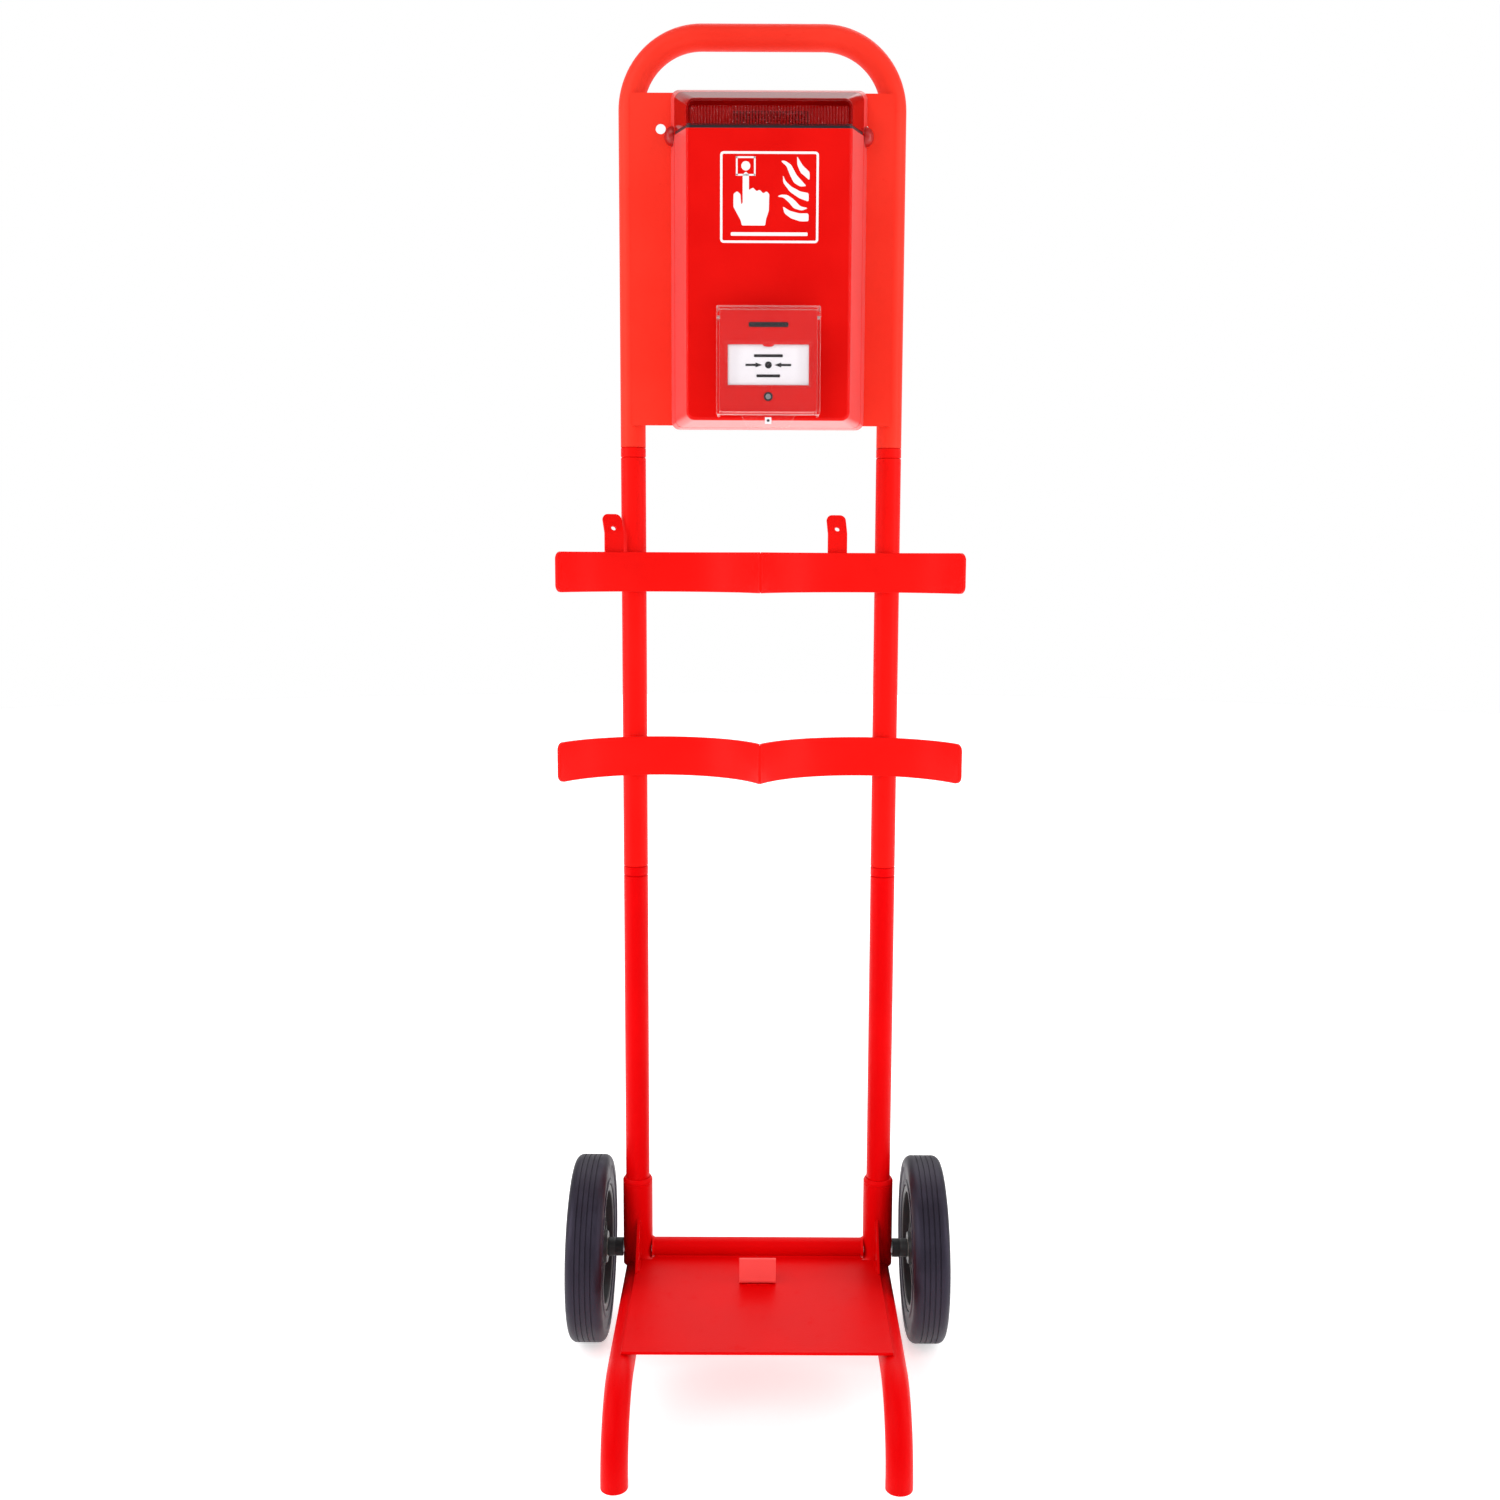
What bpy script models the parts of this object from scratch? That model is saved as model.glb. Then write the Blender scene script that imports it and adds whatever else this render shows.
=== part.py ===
"""Two-wheeled fire point stand: plug-together tubes, two pairs of cradles and a site alarm unit.

Metres, +Z up. The stand faces -Y and left means -X. The origin is on the floor, midway between
the fronts of the feet and the backs of the tyres.
"""

import math

import bmesh
import bpy
from mathutils import Quaternion, Vector

# Clearances
GAP = 0.0003
SLIDE = 0.0003
RUNNING = 0.0003

# Tubes of the frame, from the base up
TUBE_OD = 0.0254
TUBE_WALL = 0.0015
UPRIGHT_SPACING = 0.260
LOWER_TUBE_LENGTH = 0.403
MID_TUBE_LENGTH = 0.4225
BOW_HEIGHT = 0.410
BOW_BEND = 0.070
COLLAR_HEIGHT = 0.010
SPIGOT_INSERT = 0.040
SPIGOT_BORE = 0.017

# Wheels and axle
WHEEL_DIAMETER = 0.195
TYRE_WIDTH = 0.038
TYRE_SHOULDER = 0.008
TYRE_BORE = 0.132
HUB_WIDTH = 0.034
HUB_WEB = 0.010
HUB_RIM = 0.007
HUB_BOSS = 0.034
BUSH_WALL = 0.004
AXLE_DIAMETER = 0.012
SPACER_LENGTH = 0.0165
SPACER_WALL = 0.0035
WASHER_THICKNESS = 0.0012
WASHER_OD = 0.028
CAP_DIAMETER = 0.022
CAP_HEIGHT = 0.0037
CAP_TOP = 0.0010

# Base
SOCKET_WALL = 0.0029
SOCKET_RISE = 0.0805
SOCKET_SKIRT = 0.006
SOCKET_CHAMFER = 0.002
TUBE_STOP = 0.004
RAIL_TO_AXLE = 0.0038
FOOT_REACH = 0.281
FOOT_BEND = 0.067
FOOT_STRAIGHT = 0.004
PLUG_LENGTH = 0.007
CROSS_TUBE_OD = 0.021
CROSS_TUBE_WALL = 0.003
SHEET = 0.002
TRAY_SHEET = 0.003
RAIL_WALL = 0.002
BASE_PLATE_DEPTH = 0.198
GUSSET_HEIGHT = 0.045
GUSSET_LENGTH = 0.034
GUSSET_THICKNESS = 0.003
STOP_WIDTH = 0.038
STOP_HEIGHT = 0.028
STOP_FOOT = 0.022
STOP_THICKNESS = 0.003
STOP_SETBACK = 0.063

# Cradles, two arcs of flat bar at each of two heights
CRADLE_WIDTH = 0.404
CRADLE_RADIUS = 0.1117
BAR_HEIGHT = 0.040
BAR_THICKNESS = 0.004
BAR_CORNER = 0.007
CRADLE_RISES = {"lower": 0.098, "upper": 0.287}
TAB_FROM_TUBE = {"left": 0.0053, "right": -0.0641}
TAB_WIDTH = 0.020
TAB_THICKNESS = 0.003
TAB_CORNER = 0.004
TAB_LAP = 0.030
TAB_STAND = 0.018
TAB_TOP = 0.021
TAB_LEAN = math.radians(25)
TAB_HOLE = 0.005

# Back plate
PLATE_HEIGHT = 0.320
PLATE_DROP = 0.069
PLATE_HOLE = 0.010
PLATE_HOLE_SPACING = 0.200
PLATE_HOLE_DROP = 0.034

# Alarm unit: a box tapering towards the front, split into back box, cover and lens
ALARM_X = 0.0065
ALARM_BACK_WIDTH = 0.193
ALARM_BACK_HEIGHT = 0.327
ALARM_FRONT_WIDTH = 0.1545
ALARM_DEPTH = 0.085
ALARM_BACK_BOX_DEPTH = 0.020
ALARM_TOP_SLOPE = 0.032
ALARM_BOTTOM_SLOPE = 0.0022
ALARM_OVER_PLATE = 0.0026
ALARM_CORNER = 0.008
ALARM_EDGE = 0.003
ALARM_WALL = 0.0025
LENS_DROP = 0.058
LENS_RISE_TO_BACK = 0.014
SIDE_SCREW_DROP = 0.0465
SIDE_SCREW_HEAD = 0.019
SIDE_SCREW_DOME = 0.008
SIDE_SCREW_SHANK = 0.006
SIDE_SCREW_LENGTH = 0.014
RIVET_SPACING = 0.140
RIVET_DROPS = (0.070, 0.300)
RIVET_SHANK = 0.004
RIVET_HEAD = 0.008
RIVET_HEAD_HEIGHT = 0.0018
POST_HEIGHT = 0.009
POST_DIAMETER = 0.006

# Pieces inside the alarm unit
BOARD_WIDTH = 0.110
BOARD_HEIGHT = 0.070
BOARD_THICKNESS = 0.0016
BOARD_DROP = 0.150
BATTERY_WIDTH = 0.130
BATTERY_HEIGHT = 0.062
BATTERY_DEPTH = 0.034
SOUNDER_DIAMETER = 0.064
SOUNDER_DEPTH = 0.026
SOUNDER_DROP = 0.112
BEACON_WIDTH = 0.068
BEACON_FACE = 0.016
BEACON_REACH = 0.064
BEACON_THICKNESS = 0.0016

# Call point on the alarm's cover
CALL_WIDTH = 0.090
CALL_HEIGHT = 0.092
CALL_DEPTH = 0.027
CALL_RISE = 0.0054
CALL_CORNER = 0.003
WINDOW_WIDTH = 0.0755
WINDOW_HEIGHT = 0.037
WINDOW_RISE = 0.043
WINDOW_BEVEL = 0.004
WINDOW_LIP = 0.0015
WINDOW_NOTCH = 0.0055
WINDOW_NOTCH_DEPTH = 0.0022
ELEMENT_LAP = 0.002
ELEMENT_THICKNESS = 0.003
ELEMENT_TRAVEL = 0.004
SWITCH_WIDTH = 0.020
SWITCH_HEIGHT = 0.010
SWITCH_DEPTH = 0.0085
KEY_RISE = 0.0138
KEY_DIAMETER = 0.0055
KEY_LENGTH = 0.012
KEY_SLOT = 0.001

# Clear cover of the call point
COVER_WALL = 0.0025
COVER_SIDE_GAP = 0.0005
COVER_FRONT_GAP = 0.0055
COVER_FLANGE = 0.007
COVER_LIP = 0.0075
HINGE_DROP = 0.0044
HINGE_SETBACK = 0.015
HINGE_PIN = 0.003
TAB_PLATE_TOP = 0.051
TAB_PLATE_BOTTOM = 0.038
TAB_PLATE_DROP = 0.0118
SEAL_SIZE = 0.0059
SEAL_SHANK = 0.0036
SEAL_BORE = 0.0016
SEAL_HEAD = 0.0012

# Facets
TUBE_SIDES = 16
ROUND_SIDES = 20
WHEEL_SIDES = 32
BEND_STEPS = 6
ARC_STEPS = 14
CORNER_STEPS = 3

# Places that follow from the sizes above
TUBE_R = TUBE_OD / 2
WHEEL_R = WHEEL_DIAMETER / 2
AXLE_R = AXLE_DIAMETER / 2
UPRIGHT_X = UPRIGHT_SPACING / 2
UPRIGHT_Y = (FOOT_REACH + TUBE_R - WHEEL_R) / 2
AXLE_Z = WHEEL_R
RAIL_Z = AXLE_Z - AXLE_R - RAIL_TO_AXLE - TUBE_R
SOCKET_R = TUBE_R + SLIDE + SOCKET_WALL
SOCKET_TOP = AXLE_Z + SOCKET_RISE
LOWER_TUBE_Z = AXLE_Z + AXLE_R + TUBE_STOP
LOWER_JOINT_Z = LOWER_TUBE_Z + LOWER_TUBE_LENGTH
MID_TUBE_Z = LOWER_JOINT_Z + COLLAR_HEIGHT
UPPER_JOINT_Z = MID_TUBE_Z + MID_TUBE_LENGTH
BOW_Z = UPPER_JOINT_Z + COLLAR_HEIGHT
TOP_Z = BOW_Z + BOW_HEIGHT
BASE_PLATE_Z = RAIL_Z + TUBE_R + GAP
BASE_PLATE_BACK = UPRIGHT_Y - CROSS_TUBE_OD / 2 - GAP
PLATE_TOP = TOP_Z - PLATE_DROP
PLATE_BACK = UPRIGHT_Y - TUBE_R - GAP
PLATE_FRONT = PLATE_BACK - SHEET
WHEEL_X = UPRIGHT_X + SOCKET_R + GAP + SPACER_LENGTH + RUNNING + HUB_WIDTH / 2
ALARM_BACK = PLATE_FRONT - GAP
ALARM_FRONT = ALARM_BACK - ALARM_DEPTH
ALARM_TOP = PLATE_TOP + ALARM_OVER_PLATE
ALARM_SPLIT = ALARM_BACK - ALARM_BACK_BOX_DEPTH
BOX_WALL_FRONT = ALARM_BACK - ALARM_WALL
CALL_BACK = ALARM_FRONT - GAP
CALL_FRONT = CALL_BACK - CALL_DEPTH
CALL_Z = ALARM_TOP - ALARM_BACK_HEIGHT + ALARM_BOTTOM_SLOPE + CALL_RISE
WINDOW_Z = CALL_Z + WINDOW_RISE
HINGE_Y = CALL_FRONT + HINGE_SETBACK
HINGE_Z = CALL_Z + CALL_HEIGHT - HINGE_DROP
COVER_BACK = HINGE_Y + COVER_FLANGE
COVER_INNER = CALL_FRONT - COVER_FRONT_GAP
COVER_FRONT = COVER_INNER - COVER_WALL
COVER_HALF = CALL_WIDTH / 2 + COVER_SIDE_GAP + COVER_WALL
COVER_LOW = CALL_Z - COVER_SIDE_GAP - COVER_WALL
COVER_HIGH = CALL_Z + CALL_HEIGHT + COVER_SIDE_GAP + COVER_WALL

# Turns that lay a shape drawn in its own XY plane, or turned about its own Z, into place
UPRIGHT = (0.0, 0.0, 0.0)
FACING_FRONT = (math.pi / 2, 0.0, 0.0)
SIDEWAYS = (math.pi / 2, 0.0, math.pi / 2)
ALONG_X = (0.0, math.pi / 2, 0.0)
SIDES = {"left": -1, "right": 1}

FINISHES = {
    "upper_coat": ((0.85, 0.045, 0.02), 0.42, 0.0),
    "lower_coat": ((0.75, 0.002, 0.003), 0.42, 0.0),
    "alarm_red": ((0.64, 0.006, 0.004), 0.18, 0.0),
    "lens_red": ((0.30, 0.0, 0.0), 0.08, 0.0),
    "rubber": ((0.012, 0.012, 0.016), 0.6, 0.0),
    "hub_black": ((0.02, 0.02, 0.022), 0.4, 0.0),
    "steel": ((0.55, 0.55, 0.57), 0.3, 1.0),
    "nylon": ((0.75, 0.73, 0.68), 0.5, 0.0),
    "white_plastic": ((0.82, 0.80, 0.82), 0.4, 0.0),
    "clear_plastic": ((0.85, 0.80, 0.80), 0.05, 0.0),
    "board_green": ((0.02, 0.14, 0.05), 0.5, 0.0),
    "black_plastic": ((0.03, 0.03, 0.03), 0.5, 0.0),
}


def clear_scene():
    for leftover in list(bpy.data.objects):
        bpy.data.objects.remove(leftover)


def make_finishes():
    made = {}
    for name, (colour, roughness, metallic) in FINISHES.items():
        finish = bpy.data.materials.new(name)
        finish.use_nodes = True
        shader = finish.node_tree.nodes["Principled BSDF"]
        shader.inputs["Base Color"].default_value = (*colour, 1.0)
        shader.inputs["Roughness"].default_value = roughness
        shader.inputs["Metallic"].default_value = metallic
        made[name] = finish
    return made


def finished_mesh(shape):
    """Turns a bmesh into a mesh with outward faces, smooth but for its real edges."""
    bmesh.ops.recalc_face_normals(shape, faces=shape.faces)
    mesh = bpy.data.meshes.new("shape")
    shape.to_mesh(mesh)
    shape.free()
    mesh.shade_smooth()
    mesh.set_sharp_from_angle(angle=math.radians(35))
    return mesh


def link(name, mesh, location, rotation):
    item = bpy.data.objects.new(name, mesh)
    item.location = location
    item.rotation_euler = rotation
    bpy.context.scene.collection.objects.link(item)
    return item


def add(name, mesh, finish, location=(0, 0, 0), rotation=UPRIGHT, parent=None):
    """Adds a sub-part at a world place, or under an empty that stands on its joint's axis."""
    mesh.materials.append(FINISH[finish])
    part = link(name, mesh, location, rotation)
    if parent:
        part.location = part.location - parent.location
        part.parent = parent
    return part


def add_axis(name, location):
    return link(name, None, location, UPRIGHT)


def combine(part, mesh, operation, location=(0, 0, 0), rotation=UPRIGHT):
    """Cuts a helper shape from a part, or joins it on, with a Boolean."""
    helper = link(f"{part.name}_helper", mesh, location, rotation)
    helper.hide_render = True
    helper.display_type = "WIRE"
    change = part.modifiers.new(operation.lower(), "BOOLEAN")
    change.operation = operation
    change.object = helper


def circle(radius, sides):
    turn = 2 * math.pi / sides
    return [Vector((radius * math.cos(turn * i), radius * math.sin(turn * i))) for i in range(sides)]


def turned(profile, sides=ROUND_SIDES):
    """Revolves a closed profile of (radius, height) points about Z. Radius 0 is a pole."""
    shape = bmesh.new()
    rings = []
    for radius, height in profile:
        points = circle(radius, sides) if radius else [Vector((0, 0))]
        rings.append([shape.verts.new((p.x, p.y, height)) for p in points])
    for first, second in zip(rings, rings[1:] + rings[:1]):
        for i in range(sides):
            j = (i + 1) % sides
            corners = [first[i % len(first)], first[j % len(first)]]
            corners += [second[j % len(second)], second[i % len(second)]]
            corners = list(dict.fromkeys(corners))
            if len(corners) > 2:
                shape.faces.new(corners)
    return finished_mesh(shape)


def sleeve(outer, inner, length, sides=ROUND_SIDES):
    return turned([(outer, 0), (outer, length), (inner, length), (inner, 0)], sides)


def rod(radius, length, sides=ROUND_SIDES):
    return turned([(0, 0), (radius, 0), (radius, length), (0, length)], sides)


def prism(outline, thickness):
    """Extrudes a flat outline in XY along +Z."""
    shape = bmesh.new()
    face = shape.faces.new([shape.verts.new((x, y, 0)) for x, y in outline])
    grown = bmesh.ops.extrude_face_region(shape, geom=[face])
    top = [item for item in grown["geom"] if isinstance(item, bmesh.types.BMVert)]
    bmesh.ops.translate(shape, verts=top, vec=(0, 0, thickness))
    return finished_mesh(shape)


def block(low, high):
    """A box between two corners, used as a helper or as the blank of a part."""
    outline = [(low[0], low[1]), (high[0], low[1]), (high[0], high[1]), (low[0], high[1])]
    return prism(outline, high[2] - low[2])


def rounded_rectangle(width, height, radius, steps=CORNER_STEPS):
    """A rectangle centred on the origin, its four corners turned as arcs."""
    outline = []
    for quarter, (side, rise) in enumerate([(1, 1), (-1, 1), (-1, -1), (1, -1)]):
        centre = Vector((side * (width / 2 - radius), rise * (height / 2 - radius)))
        for step in range(steps + 1):
            angle = math.pi / 2 * (quarter + step / steps)
            outline.append(centre + radius * Vector((math.cos(angle), math.sin(angle))))
    return outline


def rounded_path(corners, radius, steps=BEND_STEPS):
    """A polyline with each inner corner turned as an arc of one bend radius."""
    path = [corners[0]]
    for before, corner, after in zip(corners, corners[1:], corners[2:]):
        back = (before - corner).normalized()
        on = (after - corner).normalized()
        half = back.angle(on) / 2
        centre = corner + (back + on).normalized() * radius / math.sin(half)
        start = corner + back * radius / math.tan(half) - centre
        axis = back.cross(on)
        sweep = 2 * half - math.pi
        for step in range(steps + 1):
            path.append(centre + Quaternion(axis, sweep * step / steps) @ start)
    return path + [corners[-1]]


def bent_tube(path, plane_normal, outer, inner, sides=TUBE_SIDES):
    """Sweeps a tube's ring along a path that lies in one plane."""
    shape = bmesh.new()
    normal = Vector(plane_normal)
    skins = []
    for radius in (outer, inner):
        rings = []
        for i, point in enumerate(path):
            before = path[max(i - 1, 0)]
            after = path[min(i + 1, len(path) - 1)]
            tangent = (after - before).normalized()
            up = normal.cross(tangent)
            rings.append([shape.verts.new(point + p.x * normal + p.y * up) for p in circle(radius, sides)])
        skins.append(rings)
        for first, second in zip(rings, rings[1:]):
            bridge(shape, first, second)
    for end in (0, -1):
        bridge(shape, skins[0][end], skins[1][end])
    return finished_mesh(shape)


def bridge(shape, first, second):
    for i in range(len(first)):
        j = (i + 1) % len(first)
        shape.faces.new((first[i], first[j], second[j], second[i]))


def build_handle_bow():
    """The top tube, bent twice into the push handle."""
    inset = Vector((UPRIGHT_X, UPRIGHT_Y, 0))
    crown = TOP_Z - TUBE_R
    corners = [
        Vector((-inset.x, inset.y, BOW_Z)),
        Vector((-inset.x, inset.y, crown)),
        Vector((inset.x, inset.y, crown)),
        Vector((inset.x, inset.y, BOW_Z)),
    ]
    path = rounded_path(corners, min(BOW_BEND, UPRIGHT_X - TUBE_R))
    add("handle_bow", bent_tube(path, (0, 1, 0), TUBE_R, TUBE_R - TUBE_WALL), "upper_coat")


def build_back_plate():
    """Sheet in front of the bow's legs, edges on their centre lines, with two hanging holes."""
    outline = [
        (-UPRIGHT_X, -PLATE_HEIGHT),
        (UPRIGHT_X, -PLATE_HEIGHT),
        (UPRIGHT_X, 0),
        (-UPRIGHT_X, 0),
    ]
    place = (0, PLATE_BACK, PLATE_TOP)
    plate = add("back_plate", prism(outline, SHEET), "upper_coat", place, FACING_FRONT)
    for side in SIDES.values():
        hole_place = (side * PLATE_HOLE_SPACING / 2, PLATE_BACK + SHEET, PLATE_TOP - PLATE_HOLE_DROP)
        combine(plate, rod(PLATE_HOLE / 2, 3 * SHEET), "DIFFERENCE", hole_place, FACING_FRONT)
    for place in rivet_places():
        hole = rod(RIVET_SHANK / 2 + GAP, 3 * SHEET, 12)
        combine(plate, hole, "DIFFERENCE", (place.x, PLATE_BACK + SHEET, place.z), FACING_FRONT)


def rivet_places():
    """Two rivets across at each of two heights on the alarm's back."""
    return [
        Vector((ALARM_X + side * RIVET_SPACING / 2, 0, ALARM_TOP - drop))
        for drop in RIVET_DROPS
        for side in SIDES.values()
    ]


def build_uprights(name, side):
    """One side's straight tubes, and the collared spigots that join them."""
    x = side * UPRIGHT_X
    bore = TUBE_R - TUBE_WALL
    stem = bore - SLIDE
    tubes = {
        "lower_tube": (LOWER_TUBE_Z, LOWER_TUBE_LENGTH, "lower_coat"),
        "mid_tube": (MID_TUBE_Z, MID_TUBE_LENGTH, "upper_coat"),
    }
    for label, (z, length, finish) in tubes.items():
        add(f"{label}_{name}", sleeve(TUBE_R, bore, length - GAP, TUBE_SIDES), finish, (x, UPRIGHT_Y, z))
    joints = {
        "lower_spigot": (LOWER_JOINT_Z, "lower_coat"),
        "upper_spigot": (UPPER_JOINT_Z, "upper_coat"),
    }
    for label, (z, finish) in joints.items():
        collar = COLLAR_HEIGHT - GAP
        profile = [
            (stem, -SPIGOT_INSERT),
            (stem, 0),
            (TUBE_R, 0),
            (TUBE_R, collar),
            (stem, collar),
            (stem, collar + SPIGOT_INSERT),
            (SPIGOT_BORE / 2, collar + SPIGOT_INSERT),
            (SPIGOT_BORE / 2, -SPIGOT_INSERT),
        ]
        add(f"{label}_{name}", turned(profile, TUBE_SIDES), finish, (x, UPRIGHT_Y, z))


def build_socket(name, side):
    """The wider sleeve that takes the lower tube, saddled over the base rail."""
    x = side * UPRIGHT_X
    bore = TUBE_R + SLIDE
    bottom = RAIL_Z + SOCKET_SKIRT
    height = SOCKET_TOP - bottom
    profile = [
        (bore, 0),
        (SOCKET_R, 0),
        (SOCKET_R, height - 1.5 * SOCKET_CHAMFER),
        (SOCKET_R - SOCKET_CHAMFER, height),
        (bore, height),
    ]
    socket = add(f"socket_{name}", turned(profile), "lower_coat", (x, UPRIGHT_Y, bottom))
    saddle = rod(TUBE_R + GAP, 4 * SOCKET_R)
    combine(socket, saddle, "DIFFERENCE", (x, UPRIGHT_Y + 2 * SOCKET_R, RAIL_Z), FACING_FRONT)
    hole = rod(AXLE_R + RUNNING, 4 * SOCKET_R)
    combine(socket, hole, "DIFFERENCE", (x - 2 * SOCKET_R, UPRIGHT_Y, AXLE_Z), ALONG_X)


def build_base_rail(name, side):
    """The side rail, bent down at the front into a foot, with a plug in its end."""
    x = side * UPRIGHT_X
    foot_y = UPRIGHT_Y - FOOT_REACH
    corners = [
        Vector((x, UPRIGHT_Y + SOCKET_R, RAIL_Z)),
        Vector((x, foot_y, RAIL_Z)),
        Vector((x, foot_y, 0)),
    ]
    bend = min(FOOT_BEND, RAIL_Z - FOOT_STRAIGHT)
    path = rounded_path(corners, bend)
    rail = bent_tube(path, (1, 0, 0), TUBE_R, TUBE_R - RAIL_WALL)
    add(f"base_rail_{name}", rail, "lower_coat")
    plug = rod(TUBE_R - RAIL_WALL - 2 * GAP, min(PLUG_LENGTH, RAIL_Z - bend), TUBE_SIDES)
    add(f"foot_plug_{name}", plug, "black_plastic", (x, foot_y, 0))


def build_base_plate():
    """The tray between the rails, notched at its back corners for the sockets."""
    notch_x = UPRIGHT_X - SOCKET_R - GAP
    notch_y = UPRIGHT_Y - SOCKET_R - GAP
    front = BASE_PLATE_BACK - BASE_PLATE_DEPTH
    outline = [
        (-UPRIGHT_X, front),
        (UPRIGHT_X, front),
        (UPRIGHT_X, notch_y),
        (notch_x, notch_y),
        (notch_x, BASE_PLATE_BACK),
        (-notch_x, BASE_PLATE_BACK),
        (-notch_x, notch_y),
        (-UPRIGHT_X, notch_y),
    ]
    add("base_plate", prism(outline, TRAY_SHEET), "lower_coat", (0, 0, BASE_PLATE_Z))
    stop_profile = [
        (0, 0),
        (STOP_FOOT, 0),
        (STOP_FOOT, STOP_THICKNESS),
        (STOP_THICKNESS, STOP_THICKNESS),
        (STOP_THICKNESS, STOP_HEIGHT),
        (0, STOP_HEIGHT),
    ]
    place = (-STOP_WIDTH / 2, BASE_PLATE_BACK - STOP_SETBACK, BASE_PLATE_Z + TRAY_SHEET + GAP)
    add("stop_bracket", prism(stop_profile, STOP_WIDTH), "lower_coat", place, SIDEWAYS)


def build_gusset(name, side):
    """A triangle of sheet that braces the socket against the plate's edge."""
    profile = [(0, 0), (0, GUSSET_HEIGHT), (-GUSSET_LENGTH, 0)]
    x = side * (UPRIGHT_X - GUSSET_THICKNESS / 2 - GAP) - GUSSET_THICKNESS / 2
    place = (x, UPRIGHT_Y - SOCKET_R - GAP, BASE_PLATE_Z + TRAY_SHEET + GAP)
    add(f"gusset_{name}", prism(profile, GUSSET_THICKNESS), "lower_coat", place, SIDEWAYS)


def build_cross_tube():
    half = UPRIGHT_X - SOCKET_R - GAP
    tube = sleeve(CROSS_TUBE_OD / 2, CROSS_TUBE_OD / 2 - CROSS_TUBE_WALL, 2 * half)
    add("cross_tube", tube, "lower_coat", (-half, UPRIGHT_Y, AXLE_Z), ALONG_X)


def cradle_centre(side):
    """The centre of one cradle arc, which lies against the front of its upright."""
    x = CRADLE_WIDTH / 4
    reach = CRADLE_RADIUS + BAR_THICKNESS / 2 + GAP + TUBE_R
    y = UPRIGHT_Y - math.sqrt(reach**2 - (UPRIGHT_X - x) ** 2)
    return Vector((side * x, y))


def arc(radius, start, end, side):
    """Points on a circle from one angle to another, measured outwards from straight back."""
    angles = [start + (end - start) * step / ARC_STEPS for step in range(ARC_STEPS + 1)]
    return [Vector((side * radius * math.sin(a), radius * math.cos(a))) for a in angles]


def build_cradle(level, rise, name, side):
    """One arc of flat bar, mitred at the middle of the stand and round at its free end."""
    centre = cradle_centre(side)
    inner = CRADLE_RADIUS - BAR_THICKNESS / 2
    outer = CRADLE_RADIUS + BAR_THICKNESS / 2
    reach = CRADLE_WIDTH / 4
    end = math.asin(reach / outer)
    mitre = [-math.asin((reach - GAP / 2) / radius) for radius in (inner, outer)]
    outline = arc(inner, mitre[0], end, side) + arc(outer, end, mitre[1], side)
    shape = bmesh.new()
    shape.from_mesh(prism(outline, BAR_HEIGHT))
    tip = side * (inner + outer) / 2 * math.sin(end)
    near = BAR_THICKNESS
    corners = [
        edge
        for edge in shape.edges
        if all(abs(vert.co.x - tip) < near for vert in edge.verts)
        and abs(edge.verts[0].co.z - edge.verts[1].co.z) < GAP
        and edge.calc_length() < 1.5 * BAR_THICKNESS
    ]
    bmesh.ops.bevel(shape, geom=corners, offset=BAR_CORNER, segments=3, profile=0.5, affect="EDGES")
    place = (centre.x, centre.y, MID_TUBE_Z + rise)
    add(f"{level}_cradle_{name}", finished_mesh(shape), "upper_coat", place)


def tab_point(across, along, depth):
    """A point of the strap tab, whose head leans back from the bend at along = 0."""
    if along < 0:
        return Vector((across, depth, along))
    if along == 0:
        return Vector((across, depth, -depth * math.tan(TAB_LEAN / 2)))
    up = Vector((0, math.sin(TAB_LEAN), math.cos(TAB_LEAN)))
    out = Vector((0, math.cos(TAB_LEAN), -math.sin(TAB_LEAN)))
    return Vector((across, 0, 0)) + along * up + depth * out


def build_strap_tab(name, side):
    """A drilled tab welded behind the upper cradle, set from its tube's outer side, its head leaning back."""
    centre = cradle_centre(side)
    radius = CRADLE_RADIUS + BAR_THICKNESS / 2 + GAP
    offset_x = UPRIGHT_X + TUBE_R + TAB_FROM_TUBE[name] - CRADLE_WIDTH / 4
    angle = -side * math.asin(offset_x / radius)
    half = TAB_WIDTH / 2
    low = -TAB_STAND - TAB_LAP
    head = [tuple(p) for p in rounded_rectangle(TAB_WIDTH, 2 * TAB_TOP, TAB_CORNER) if p.y > 0]
    outline = [(-half, low), (half, low), (half, 0)] + head + [(-half, 0)]
    shape = bmesh.new()
    skins = [
        [shape.verts.new(tab_point(across, along, depth)) for across, along in outline]
        for depth in (0, TAB_THICKNESS)
    ]
    bridge(shape, *skins)
    for skin in skins:
        shape.faces.new(skin[:3] + skin[-1:])
        shape.faces.new(skin[2:])
    offset = Quaternion((0, 0, 1), angle) @ Vector((0, radius, 0))
    bend_z = MID_TUBE_Z + CRADLE_RISES["upper"] + BAR_HEIGHT + TAB_STAND
    place = (centre.x + offset.x, centre.y + offset.y, bend_z)
    tab = add(f"strap_tab_{name}", finished_mesh(shape), "upper_coat", place, (0, 0, angle))
    hole = turned([(0, -1), (TAB_HOLE / 2, -1), (TAB_HOLE / 2, 1), (0, 1)], 12)
    for vert in hole.vertices:
        across, rise, through = vert.co
        vert.co = tab_point(across, rise + TAB_HOLE, -through * 3 * TAB_THICKNESS)
    combine(tab, hole, "DIFFERENCE", place, (0, 0, angle))


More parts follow.
